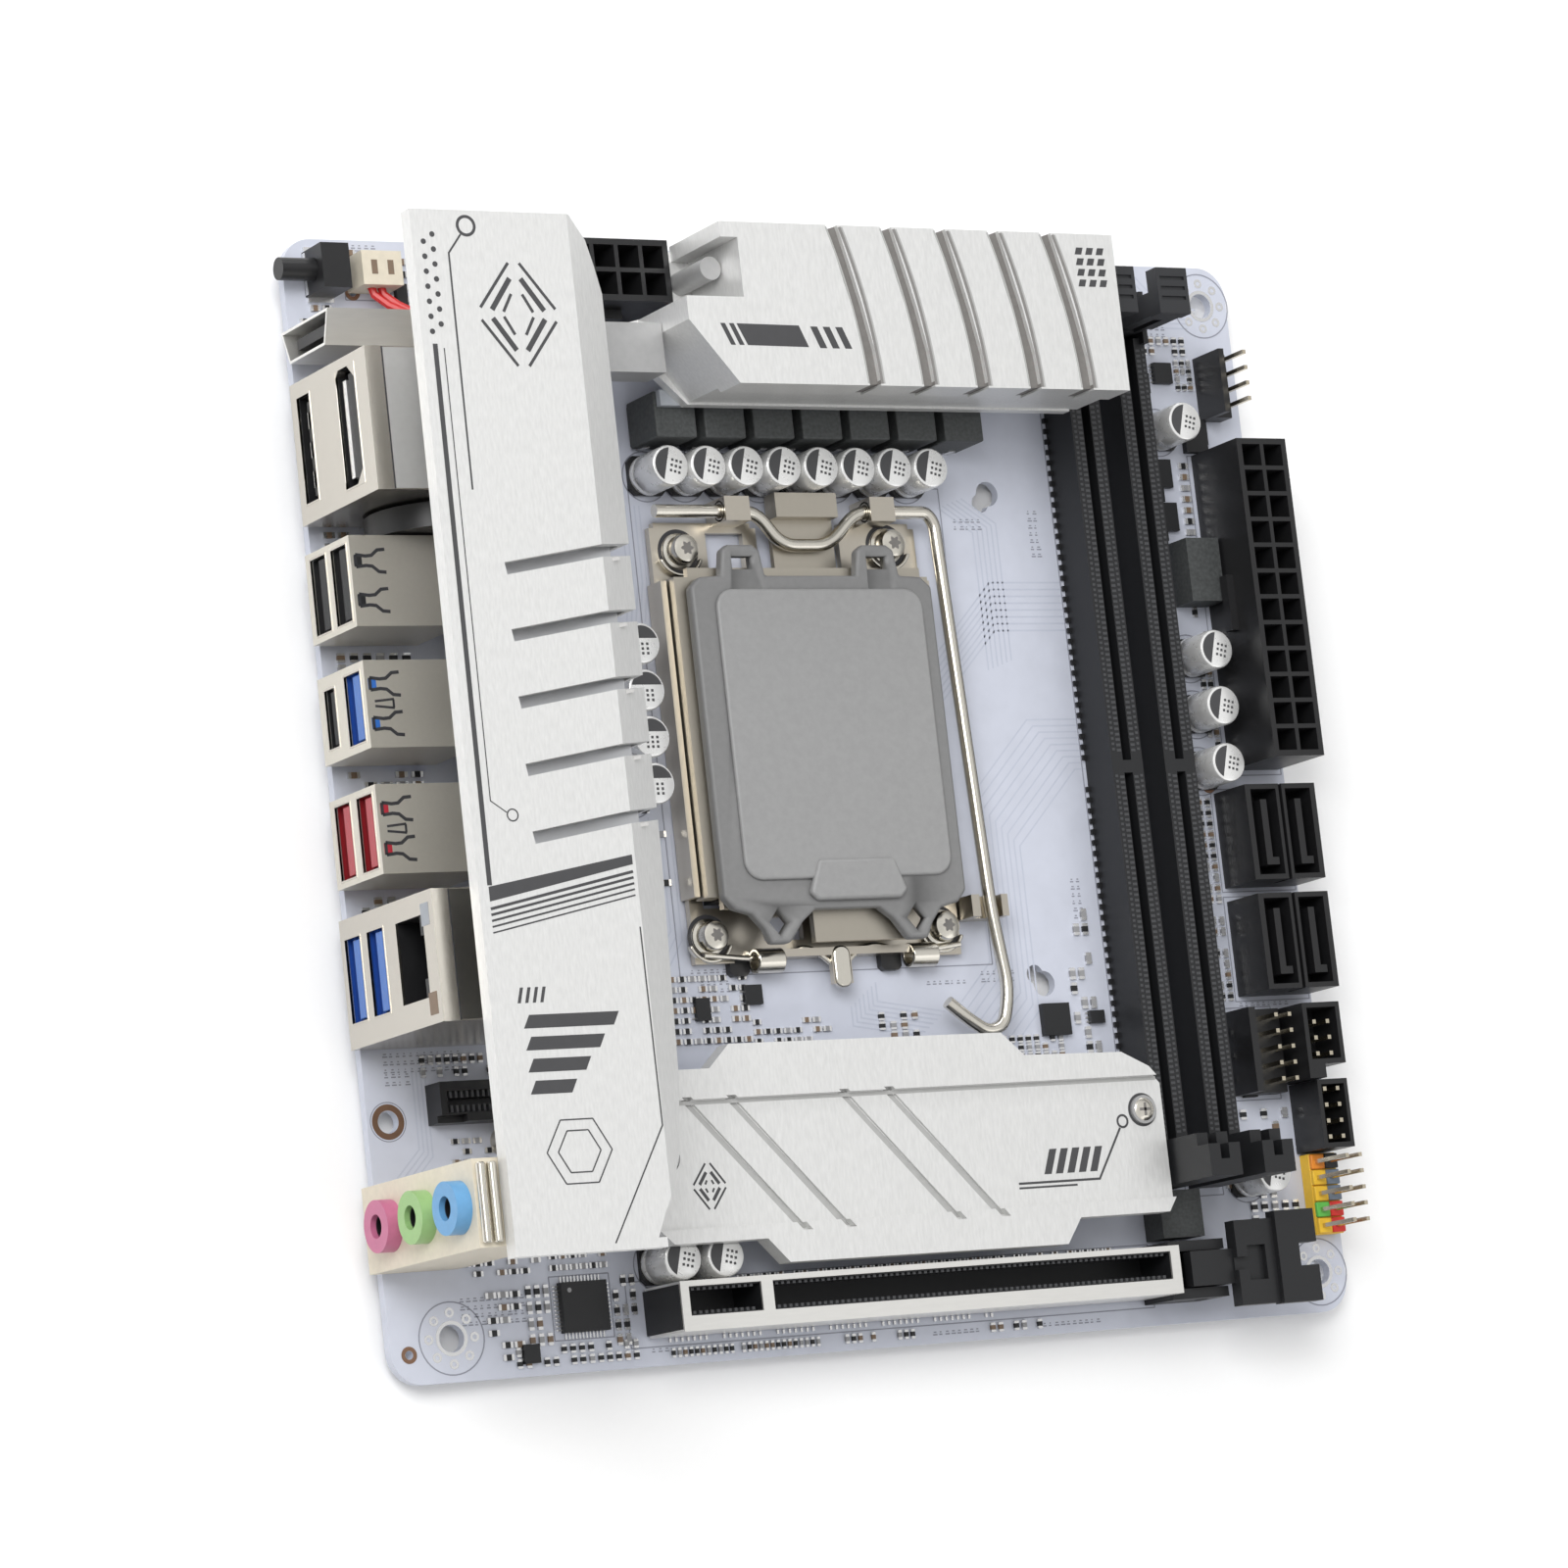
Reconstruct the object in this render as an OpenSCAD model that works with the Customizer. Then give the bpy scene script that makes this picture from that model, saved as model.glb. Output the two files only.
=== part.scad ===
// Small square computer motherboard with its heatsinks, covers, sockets, ports and moving catches.
// Sizes are in millimetres. Sub-parts are laid out in board coordinates: x from the rear ports' edge,
// y from the expansion slot's edge, z up from the top face of the circuit board. The finished model is
// shifted so that its origin is the middle of the mounting hole beside both edges, on the underside.

/* [Circuit board] */
// Side of the square board
board_w = 170.18; // [170:0.01:171]
// Thickness of the board
board_t = 1.6; // [1.2:0.1:2]
// Radius of the board's corners
board_corner_r = 5; // [2:0.5:6]
// Radius of the four case mounting holes
mount_hole_r = 2; // [1.9:0.05:2.1]

/* [Processor socket] */
// Middle of the cooler hole pattern, from the rear edge
cooler_x = 80.5; // [80:0.1:81]
// Middle of the cooler hole pattern, from the slot edge
cooler_y = 93.25; // [93:0.05:93.5]
// Side of the square that the main cooler holes make
cooler_square = 78; // [77:0.5:79]
// Width of the processor recess
recess_w = 37.6; // [37:0.1:38]
// Length of the processor recess
recess_l = 45.2; // [44.5:0.1:45.5]
// Diameter of the lever's wire
lever_d = 2.1; // [1.8:0.1:2.2]
// Height of the lever's axis above the board
lever_z = 4.4; // [4.3:0.05:4.5]
// Height of the load plate's lower face above the board
plate_z = 5; // [4.8:0.1:5.1]
// Thickness of the load plate
plate_t = 1.2; // [1:0.1:1.2]

/* [Power stage] */
// Number of chokes in the row
choke_count = 7; // [4:1:7]
// Distance from one choke to the next
choke_pitch = 8.6; // [8.4:0.1:8.7]
// Width of a choke
choke_w = 7.1; // [6.5:0.1:7.4]
// Height of a choke
choke_h = 9; // [8:0.1:9]
// Number of capacitors in the row by the chokes
capacitor_count = 8; // [4:1:8]
// Distance from one capacitor to the next
capacitor_pitch = 6.65; // [6.5:0.05:6.7]
// Diameter of a capacitor can
capacitor_d = 6.3; // [5:0.1:6.4]
// Height of a capacitor can
capacitor_h = 8.2; // [6:0.1:8.3]
// Height of the top of the heatsink above the board
sink_top_z = 27; // [25:0.5:28]
// Number of polished grooves in the heatsink
groove_count = 5; // [1:1:5]
// Width of a groove
groove_w = 2; // [1:0.1:2.5]

/* [Port cover] */
// Height of the top of the cover above the board
cover_top_z = 38; // [37.5:0.1:39]
// Wall thickness of the cover
cover_t = 1.4; // [1:0.1:1.5]
// Number of slanted louvres
louvre_count = 5; // [1:1:5]
// Width of a louvre
louvre_w = 1.8; // [1:0.1:3]
// Distance from one louvre to the next
louvre_pitch = 9.7; // [8:0.1:10]

/* [Storage heatsink] */
// Height of the top of the storage heatsink above the board
deck_z = 12; // [11:0.1:12.5]
// Depth of the recessed middle of its top
deck_drop = 1; // [0.4:0.1:1]
// Width of each slanted groove
rib_w = 1.6; // [0.8:0.1:1.8]

/* [Memory slots] */
// Middle of the slot nearer the processor
slot_a_x = 135; // [134.5:0.1:135.2]
// Middle of the slot nearer the board's edge
slot_b_x = 145; // [144.8:0.1:145.5]
// Width of a slot
memory_w = 5.8; // [5.4:0.1:6]
// Height of a slot's body
memory_h = 7.4; // [7:0.1:8]
// Height of the end towers and latches
tower_h = 21; // [18:0.5:22]

/* [Expansion slot] */
// Length of the slot's shell
slot_l = 89.2; // [88:0.1:90]
// Width of the slot's shell
slot_w = 7.4; // [7.2:0.1:7.6]
// Height of the slot
slot_h = 11.25; // [11:0.05:11.5]

/* [Ports] */
// How far the port faces stand out past the board's edge
port_out = 2; // [1:0.1:2.5]
// Sheet thickness of the metal shells
shell_t = 0.4; // [0.3:0.05:0.5]
// Depth of a socket's mouth
mouth_depth = 10.5; // [8:0.1:11]
// Radius of the hole in an audio socket
jack_hole_r = 1.75; // [1.7:0.01:1.8]

/* [Power and drive connectors] */
// Distance between power contacts
cell_pitch = 4.2; // [4.2:0.01:4.25]
// Side of one square cell
cell_w = 3.5; // [3.2:0.1:3.6]
// Height of the power connectors
power_h = 12.8; // [12:0.1:13]
// Height of the drive sockets
drive_h = 8.6; // [8:0.1:9]
// Distance between header pins
pin_pitch = 2.54; // [2.5:0.01:2.54]

/* [Hidden] */
$fn = 48;

// How far joined pieces of one solid run into each other
overlap = 0.01;
// Gap between the board's face and what stands on it
seat_z = 0.02;
corner_hole = [10.16, 6.35];
far_hole = [33.02, 163.83];
edge_hole_x = 165.1;
wireless_hole = [3.39, 38.23];
small_holes = [[3.03, 4.4], [11.19, 162.17], [155.2, 84.9]];

cpu_x = 80.3;
cpu_y = 92.4;
screw_spots = [[61.3, 122.5], [98.5, 123.4], [59.2, 63.2], [100.4, 63.4]];
lever_y = 128.2;
lever_r = lever_d / 2;
// The lever's cross bar runs in two straight stretches, with the crank between them
cross_bars = [[56.2, 73.4], [92.6, 104.2]];
crank_route = [
    [72.4, lever_y], [74, lever_y], [75.1, 127.5], [77.2, 123.7], [78.4, 122.9], [86.2, 122.9],
    [87.5, 123.7], [90.8, 127.5], [92, lever_y], [93.6, lever_y]
];
arm_route = [
    [103, lever_y], [104.3, lever_y], [105.3, 127.7], [105.9, 126.6], [107.1, 98], [108.4, 66],
    [109.9, 53.4], [109.6, 50.2], [108.7, 48.2], [107.3, 47.1], [105.6, 46.8], [104, 47.4], [102.4, 48.8],
    [98.6, 51.5]
];
hook_spots = [67.6, 93.6];
hook_w = 4.4;
tail_x = [77.2, 88.2];

choke_x = 55.5;
choke_y = 138.6;
capacitor_x = 57.8;
capacitor_y = 134.5;
side_capacitors = [
    [49.5, 107.1], [49.5, 100], [49.5, 92.9], [49.5, 85.8],
    [153.5, 142.6], [154.2, 105.5], [154.2, 96.4], [153.9, 87.2],
    [45.3, 14.9], [52.6, 14.9], [153.2, 22]
];
sink_outline = [
    [60.2, 142.6], [130.2, 142.6], [130.2, 167.4], [59.4, 167.4], [59.4, 165], [62.4, 165],
    [62.4, 155.8], [52.5, 155.8], [52.5, 152.2]
];
sink_screw = [60.5, 161.6];
sink_base_z = 10.2;
sink_ledge_z = 12;
groove_x = 83.9;
groove_pitch = 9.66;
groove_depth = 6;

cover_x = 1.7;
cover_y = [14.4, 164.4];
bevel_x = 27.3;
bevel_drop = 5;
cover_edge = [
    [1.7, 14.4], [24, 14.4], [26, 19], [30.7, 27.6], [32.7, 38.7], [34.5, 72], [34.7, 110],
    [34.7, 154], [33.2, 158], [31.6, 161.4], [27.8, 164.4], [1.7, 164.4]
];
skirt_z = 35.4;
wall_foot_z = 14;
louvre_x = 11.5;
louvre_y = 73.2;
louvre_tilt = 9.4;
cover_posts = [[20.5, 148.4], [22, 34.4]];

deck_outline = [
    [37.5, 21], [42, 16.7], [57.8, 16.7], [61.2, 13], [110.5, 12.7], [113.3, 16.6], [129.8, 16.6],
    [131.3, 18.8], [131.3, 36.6], [129, 39.2], [124.2, 41.6], [106.4, 41.9], [102.6, 45.5],
    [54.6, 45.8], [50.9, 42.3], [37.5, 42.3]
];
deck_screws = [[127.5, 32.6], [42.3, 29.6]];
rib_starts = [45.7, 53.3, 72.8, 80.7];

memory_y = [20.8, 156.2];
latch_y = 159.6;
latch_z = 3.4;
latch_end_y = 163.6;

slot_x = 42.2;
slot_y = 4;
slot_latch_x = 139;
slot_latch_z = 4.2;

main_power = [159.6, 87.2];
cpu_power = [40.6, 158.6];
drive_x = [156, 169.6];
drive_upper_y = [68.2, 83.5];
drive_lower_y = [50.7, 66];

button_y = 164.6;
button_z = 3.2;
button_r = 1.7;

audio_y = 22.5;
jack_heights = [8.2, 19, 29.8];
audio_block_y = [16.3, 28.8];
audio_top = 34.6;

// Each port is [low y, high y, low z, high z] of its mouth
black_ports = [[109.3, 120.5, 3.6, 8.4], [109.3, 120.5, 10.4, 15.2]];
mixed_ports = [[92.4, 101, 4, 7.2], [91.6, 101.8, 10.6, 15.6]];
red_ports = [[73.1, 83.9, 3.6, 8.4], [73.1, 83.9, 10.8, 15.6]];
network_ports = [[52.4, 64.6, 2.6, 7.4], [52.4, 64.6, 9.8, 14.8]];
network_mouth = [52.6, 64.4, 18.9, 27.4];
stacked_ports = [[128.8, 144.6, 4.4, 8.4], [128, 145.4, 17.4, 23.2]];

cell_x = 14.4;
cell_z = 12.4;
cell_r = 10.4;
cell_y = [121.9, 125.5];
lead_r = 0.65;
lead_gap = 0.8;
// The lead runs from the cell, back under the cover, and forward into its plug
lead_route = [
    [26.1, 123.7, 15.4], [27.8, 124.6, 16], [29.2, 127.5, 16.4], [29.6, 133, 16.4], [29.6, 140, 15.6],
    [29.2, 147, 14], [27, 150.6, 12], [23.4, 153.6, 9.6], [19, 156.6, 6.8], [15.6, 159.2, 4.4],
    [13.9, 161, 3.3], [13.6, 162.4, 3.1]
];

// ---- Small helpers -------------------------------------------------------------------------------

module on_board()
    translate([-corner_hole[0], -corner_hole[1], board_t]) children();

module block(x, y, z)
    translate([x[0], y[0], z[0]]) cube([x[1] - x[0], y[1] - y[0], z[1] - z[0]]);

module slab(points, z)
    translate([0, 0, z[0]]) linear_extrude(z[1] - z[0]) polygon(points);

module post(spot, r, z)
    translate([spot[0], spot[1], z[0]]) cylinder(r = r, h = z[1] - z[0]);

module rod_x(x, y, z, r)
    translate([x[0], y, z]) rotate([0, 90, 0]) cylinder(r = r, h = x[1] - x[0]);

module rod_y(x, y, z, r)
    translate([x, y[0], z]) rotate([-90, 0, 0]) cylinder(r = r, h = y[1] - y[0]);

module screw(spot, head_r, head_z, shank_r, foot_z, drive_r) {
    difference() {
        union() {
            post(spot, head_r, head_z);
            post(spot, shank_r, [foot_z, head_z[0] + overlap]);
        }
        translate([spot[0], spot[1], head_z[1] - 1]) cylinder(r = drive_r, h = 2, $fn = 6);
    }
}

// A ring of points round one station of a route, square to the route there
function station(route, i, r, sides) =
    let (
        before = route[max(i - 1, 0)],
        after = route[min(i + 1, len(route) - 1)],
        ahead = (after - before) / norm(after - before),
        side = cross(ahead, [0, 0, 1]) / norm(cross(ahead, [0, 0, 1])),
        up = cross(side, ahead)
    )
    [for (k = [0 : sides - 1]) route[i] + r * (cos(360 * k / sides) * side + sin(360 * k / sides) * up)];

// A tube swept along a route
module tube(route, r, sides = 8) {
    n = len(route);
    rings = [for (i = [0 : n - 1]) each station(route, i, r, sides)];
    walls = [
        for (i = [0 : n - 2], k = [0 : sides - 1])
            let (a = i * sides + k, b = i * sides + (k + 1) % sides)
                each [[a, b, b + sides], [a, b + sides, a + sides]]
    ];
    first_end = [for (k = [sides - 1 : -1 : 0]) k];
    last_end = [for (k = [0 : sides - 1]) (n - 1) * sides + k];
    polyhedron(points = rings, faces = concat(walls, [first_end, last_end]));
}

// ---- Circuit board -------------------------------------------------------------------------------

module pcb() on_board() color([0.84, 0.85, 0.92]) {
    r = board_corner_r;
    depth = [-board_t, 0];
    drill = [-board_t - 1, 1];
    difference() {
        union() {
            block([r, board_w - r], [0, board_w], depth);
            block([0, board_w], [r, board_w - r], depth);
            for (x = [r, board_w - r], y = [r, board_w - r]) post([x, y], r, depth);
        }
        for (spot = [corner_hole, [edge_hole_x, corner_hole[1]], [edge_hole_x, far_hole[1]], far_hole])
            post(spot, mount_hole_r, drill);
        for (sx = [-1, 1], sy = [-1, 1]) {
            half = cooler_square / 2;
            post([cooler_x + sx * half, cooler_y + sy * half], mount_hole_r, drill);
            post([cooler_x + sx * (half - 1.5), cooler_y + sy * (half - 1.5)], 1.5, drill);
        }
        post(wireless_hole, 1.65, drill);
        for (spot = small_holes) post(spot, 0.6, drill);
        for (spot = screw_spots) post(spot, 2.6, drill);
        for (spot = cover_posts) post(spot, 1.2, drill);
        for (spot = deck_screws) post(spot, 1.2, drill);
    }
}

// ---- Processor socket ----------------------------------------------------------------------------

module socket_backplate() on_board() color([0.62, 0.63, 0.65]) {
    low = -board_t - 1.8;
    difference() {
        union() {
            block([56, 104], [59.5, 126.8], [low, -board_t]);
            for (spot = screw_spots) post(spot, 2.5, [low, 0.25]);
        }
        block([66, 95], [74, 111], [low - 1, 1]);
        for (spot = screw_spots) post(spot, 1.5, [low - 1, 1]);
    }
}

module cpu_socket() on_board() color([0.16, 0.16, 0.17]) {
    wall = 1.5;
    floor_z = 2.2;
    difference() {
        block([cpu_x - recess_w / 2 - wall, cpu_x + recess_w / 2 + wall],
              [cpu_y - recess_l / 2 - wall, cpu_y + recess_l / 2 + wall], [seat_z, 3.9]);
        block([cpu_x - recess_w / 2, cpu_x + recess_w / 2],
              [cpu_y - recess_l / 2, cpu_y + recess_l / 2], [floor_z, 5]);
        // Finger cut-outs in the long walls
        for (side = [-1, 1])
            block([cpu_x + side * recess_w / 2 - 3, cpu_x + side * recess_w / 2 + 3],
                  [cpu_y - 5, cpu_y + 5], [2.9, 5]);
        // Window through the middle of the contact field
        block([cpu_x - 5.5, cpu_x + 5.5], [cpu_y - 8, cpu_y + 8], [1.2, 5]);
    }
}

module socket_frame() on_board() color([0.78, 0.76, 0.70]) {
    base = [0.3, 1.5];
    difference() {
        union() {
            block([56.6, 104], [59.6, 126.2], base);
            block([56.6, 63.4], [59.2, 62], base);
            block([96, 104], [59.2, 62], base);
            // Upright side flanges
            block([56, 57], [69, 117.4], [0.3, 4.4]);
            block([102.8, 104], [69, 117.4], [0.3, 4.4]);
            // Front rail and its middle tongue
            block([67, 95.5], [59.6, 60.8], [0.3, 3.4]);
            block([79.4, 82.8], [55.2, 60.2], [2.4, 3.4]);
            // Hooks that hold the lever's cross bar
            for (x = hook_spots) block([x, x + hook_w], [126.4, 130.2], [0.3, lever_z + 1.9]);
            block([57.4, 74.4], [125.9, 127], base);
            block([90.4, 103], [125.9, 127], base);
        }
        block([59, 101.6], [67.6, 117.8], [0, 6]);
        block([75.4, 90.2], [117, 135], [0, 8]);
        block([66.4, 73], [119.4, 125.4], [0, 1.6]);
        block([69, 76], [62.4, 66], [0, 1.6]);
        block([85.5, 92], [62.4, 66], [0, 1.6]);
        for (spot = screw_spots) post(spot, 1.8, [0, 2]);
        rod_x([50, 110], lever_y, lever_z, lever_r + 0.08);
    }
}

module socket_screws() on_board() color([0.80, 0.78, 0.73]) {
    for (spot = screw_spots) screw(spot, 2.9, [1.5, 4.5], 1.45, -board_t - 1.7, 1.5);
}

module lever_catch() on_board() color([0.78, 0.76, 0.70]) {
    block([104.3, 111.2], [64.4, 67.8], [seat_z, 3.2]);
    block([110, 111.2], [64.4, 67.8], [3.2, 5.2]);
    block([104.3, 105.8], [64.4, 67.8], [3.2, 5.6]);
}

module load_lever() on_board() color([0.80, 0.78, 0.73]) translate([0, 0, lever_z]) {
    for (x = cross_bars) rod_x(x, lever_y, 0, lever_r);
    // The bent stretches are a hair thinner, so that each ends inside its straight bar
    for (route = [crank_route, arm_route]) tube([for (p = route) [p[0], p[1], 0]], lever_r - 0.04);
}

module load_plate() on_board() color([0.74, 0.73, 0.69]) {
    top = plate_z + plate_t;
    tail = [2.1, 3.1];
    difference() {
        block([59.8, 101.2], [66.8, 119], [plate_z, top]);
        block([65, 95.6], [72.4, 112.4], [plate_z - 1, top + 1]);
    }
    // Side flanges, folded down
    block([57.3, 59.9], [68.6, 117.6], [2.6, top]);
    block([101.1, 102.5], [68.6, 117.6], [3, top]);
    // Front lip
    block([75.6, 92.4], [61.4, 66.8], [plate_z - 0.6, top - 0.6]);
    block([75.6, 92.4], [66.4, 67.6], [plate_z - 0.6, top - 0.6]);
    // Tail: down behind the plate, under the crank, and up again past the lever's axis
    block(tail_x, [117.8, 119], [tail[0], plate_z]);
    block(tail_x, [117.8, 131], tail);
    block(tail_x, [127.2, 131], [tail[0], 5.3]);
}

module socket_cap() on_board() color([0.60, 0.60, 0.60]) {
    low = plate_z + plate_t + 0.05;
    high = 8.5;
    panel = 9.1;
    difference() {
        union() {
            block([58.9, 101.8], [66.2, 117.2], [low, high]);
            for (x = [[64.8, 71.6], [88.9, 95.6]]) block(x, [117, 122.2], [low, high]);
            for (x = [[63.6, 72.4], [87.6, 96.4]]) block(x, [60.4, 66.4], [low, high]);
            block([62.6, 99.4], [70.6, 115.2], [high, panel]);
            block([73.6, 90.4], [67.4, 73], [high, panel + 0.5]);
            // Clips that reach through the load plate's window
            for (x = [[65.1, 66.1], [94.5, 95.5]], y = [80, 100]) block(x, [y, y + 5], [4.6, low + 1]);
        }
        block([66.2, 94.4], [73.6, 111.2], [low - 1, 7.2]);
        for (x = [68.2, 92.2]) block([x - 1.9, x + 1.9], [118.4, 120.4], [low - 1, high + 1]);
        for (x = [68, 92])
            translate([x, 63.6, low - 1]) rotate([0, 0, 45]) cube([2.8, 2.8, 12], center = true);
    }
}

// ---- Power stage ---------------------------------------------------------------------------------

// The groove's centre line leans across the heatsink and straightens towards the front
function groove_line(i) =
    let (x = groove_x + i * groove_pitch)
        [[x, 142], [x - 0.5, 148], [x - 1.8, 155], [x - 3.2, 161], [x - 4.9, 168]];

module groove(i) {
    line = groove_line(i);
    w = groove_w / 2;
    right = [for (p = line) [p[0] + w, p[1]]];
    left = [for (k = [len(line) - 1 : -1 : 0]) [line[k][0] - w, line[k][1]]];
    slab(concat(right, left), [sink_top_z - groove_depth, sink_top_z + 1]);
}

module vrm_heatsink() on_board() color([0.93, 0.93, 0.92]) {
    difference() {
        slab(sink_outline, [sink_ledge_z, sink_top_z]);
        for (i = [0 : groove_count - 1]) groove(i);
        // Sloped back edge
        translate([40, 167.4, sink_top_z]) rotate([-35, 0, 0]) translate([0, -1.2, 0]) cube([100, 4, 4]);
        // Ledge along the front, under the top
        block([50, 140], [142, 143.2], [sink_ledge_z - 1, sink_top_z - groove_depth]);
    }
}

module vrm_base_plate() on_board() color([0.86, 0.86, 0.86]) {
    block([66, 128], [148, 166], [2.4, sink_base_z]);
    slab([[59.6, 142.9], [128.8, 142.9], [128.8, 166.6], [58.8, 166.6], [58.8, 157.4], [50.6, 155.4],
          [50.6, 151.4]], [sink_base_z, sink_ledge_z]);
}

module thermal_pads() on_board() color([0.62, 0.65, 0.68]) {
    block([56, 114], [143.2, 145.6], [choke_h, sink_base_z]);
    block([67, 127], [149, 157.5], [1.2, 2.4]);
    block([56, 124.6], [18.8, 38.4], [5, 6.2]);
    block([22, 32], [62, 117], [1.2, 2.4]);
}

module vrm_transistors() on_board() color([0.12, 0.12, 0.13]) {
    for (i = [0 : 6]) block([68 + i * 8.4, 73 + i * 8.4], [150.2, 156.2], [seat_z, 1.2]);
    for (i = [0 : 3]) block([24, 29.4], [69 + i * 12, 74 + i * 12], [seat_z, 1.2]);
}

module vrm_chokes() on_board() color([0.24, 0.25, 0.26]) {
    for (i = [0 : choke_count - 1]) {
        x = choke_x + i * choke_pitch;
        block([x, x + choke_w], [choke_y, choke_y + 7.1], [seat_z, choke_h]);
    }
}

module capacitor(spot) {
    post(spot, capacitor_d / 2, [0.6, capacitor_h]);
    block([spot[0] - 3.2, spot[0] + 3.2], [spot[1] - 3.05, spot[1] + 3.05], [seat_z, 0.7]);
}

module vrm_capacitors() on_board() color([0.86, 0.86, 0.85]) {
    for (i = [0 : capacitor_count - 1]) capacitor([capacitor_x + i * capacitor_pitch, capacitor_y]);
    for (spot = side_capacitors) capacitor(spot);
}

module heatsink_screws() on_board() color([0.86, 0.85, 0.82]) {
    // Spring screws of the power stage heatsink
    post(sink_screw, 1.8, [sink_ledge_z, 21.5]);
    // Screws through the storage heatsink
    for (spot = deck_screws) screw(spot, 2.2, [10, 11.6], 1.1, 5, 0.9);
}

module io_heatsink() on_board() color([0.85, 0.85, 0.85]) {
    difference() {
        block([21.2, 32.6], [60, 119], [2.4, 31]);
        for (x = [23.4, 26.2, 29]) block([x, x + 1.6], [59, 120], [10, 32]);
    }
}

module heat_bridge() on_board() color([0.72, 0.74, 0.78]) {
    block([35.1, 52.4], [146, 153.6], [13, 19]);
}

// ---- Port cover ----------------------------------------------------------------------------------

module cover_section() {
    z = cover_top_z;
    t = cover_t;
    edge = 34.7;
    polygon([
        [cover_x, skirt_z], [cover_x, z], [bevel_x, z], [edge, z - bevel_drop], [edge, wall_foot_z],
        [edge - t, wall_foot_z], [edge - t, z - bevel_drop - 0.7], [bevel_x - 0.5, z - t],
        [cover_x + t, z - t], [cover_x + t, skirt_z]
    ]);
}

module io_cover() on_board() color([0.92, 0.92, 0.91]) {
    length = cover_y[1] - cover_y[0];
    difference() {
        union() {
            intersection() {
                translate([0, cover_y[1], 0]) rotate([90, 0, 0]) linear_extrude(length) cover_section();
                slab(cover_edge, [0, 50]);
            }
            // End lips
            block([cover_x, 26], [cover_y[0], cover_y[0] + cover_t], [skirt_z, cover_top_z]);
            block([cover_x, 27], [cover_y[1] - cover_t, cover_y[1]], [skirt_z, cover_top_z]);
        }
        for (i = [0 : louvre_count - 1])
            translate([louvre_x, louvre_y - louvre_w / 2 + i * louvre_pitch, 0])
                rotate([0, 0, louvre_tilt]) cube([40, louvre_w, 60]);
    }
}

module standoffs() on_board() color([0.80, 0.79, 0.76]) {
    for (spot = cover_posts) {
        post(spot, 2.3, [seat_z, cover_top_z - cover_t - 0.02]);
        post(spot, 1.1, [-board_t, 0.03]);
    }
    for (spot = deck_screws) difference() {
        post(spot, 2.3, [seat_z, 8.6]);
        post(spot, 1.15, [2, 9]);
    }
}

// ---- Storage slot and small sockets --------------------------------------------------------------

module m2_heatsink() on_board() color([0.93, 0.93, 0.92]) {
    floor_z = deck_z - deck_drop;
    difference() {
        union() {
            slab(deck_outline, [8.7, deck_z]);
            block([56, 124.6], [18.8, 38.4], [6.2, 8.8]);
        }
        block([30, 140], [18.8, 37.8], [floor_z, deck_z + 1]);
        // Slanted grooves across the recessed deck
        for (x = rib_starts)
            slab([[x, 38.2], [x + rib_w, 38.2], [x + rib_w + 18.4, 17.6], [x + 18.4, 17.6]],
                 [floor_z - 0.5, deck_z + 1]);
        for (spot = deck_screws) {
            post(spot, 1.3, [5, 13]);
            post(spot, 2.4, [10, 13]);
        }
    }
}

module m2_socket() on_board() color([0.15, 0.15, 0.16]) {
    difference() {
        block([46, 53.6], [18.4, 39.6], [seat_z, 4.2]);
        block([49, 54], [19.4, 38.6], [2, 3.4]);
    }
}

module wifi_socket() on_board() color([0.15, 0.15, 0.16]) {
    difference() {
        block([9.9, 31.9], [37.3, 43.2], [seat_z, 4.6]);
        block([11, 30.8], [38.6, 41.8], [1.4, 5]);
        block([9, 14], [36, 38.3], [3, 5]);
    }
}

module chips() on_board() color([0.14, 0.14, 0.15]) {
    // Chipset, under the storage heatsink
    block([84, 109], [17, 41], [seat_z, 1.5]);
    // Sound chip
    block([28.2, 35.8], [5.8, 13.2], [seat_z, 1.4]);
    // Small packages between the memory slots and the edge
    block([149.6, 152.6], [148.9, 152.2], [seat_z, 1]);
    block([149.8, 152.8], [131, 136.4], [seat_z, 1.1]);
    block([149.6, 152.6], [124.6, 129.6], [seat_z, 1.1]);
    block([158.2, 162.4], [139.2, 143.4], [seat_z, 1.2]);
    // Network controller, under the port cover
    block([22, 29], [49, 56], [seat_z, 1.2]);
    // Regulators beside the storage heatsink
    block([118, 123], [46, 51], [seat_z, 1.1]);
    block([148.8, 151], [40.4, 44.2], [seat_z, 1]);
}

module inductors() on_board() color([0.42, 0.42, 0.42]) {
    block([152.9, 159.2], [113.9, 124.2], [seat_z, 5.2]);
    block([132.9, 140.6], [13, 20.4], [seat_z, 5]);
}

// ---- Expansion slot ------------------------------------------------------------------------------

// Mouths in the slot for the short and the long part of a card's edge
module slot_mouths(width, z) {
    mid = slot_y + 4.4;
    block([slot_x + 1.7, slot_x + 14], [mid - width / 2, mid + width / 2], z);
    block([slot_x + 16, slot_x + slot_l - 2], [mid - width / 2, mid + width / 2], z);
}

module expansion_slot() on_board() color([0.14, 0.14, 0.15]) {
    t = 0.4;
    far = slot_x + slot_l;
    difference() {
        block([slot_x + 0.2, far - 0.2], [slot_y + t, slot_y + slot_w - t], [seat_z, slot_h - t]);
        slot_mouths(3.9, [2.6, slot_h + 1]);
    }
    // Bracket that carries the latch
    difference() {
        block([far - 0.2, 141.6], [slot_y - 0.8, slot_y + 8.2], [seat_z, 8.2]);
        block([far + 1.6, 150], [slot_y + 0.8, slot_y + 6.6], [1, 10]);
        rod_y(slot_latch_x, [0, 20], slot_latch_z, 1.18);
    }
}

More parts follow.
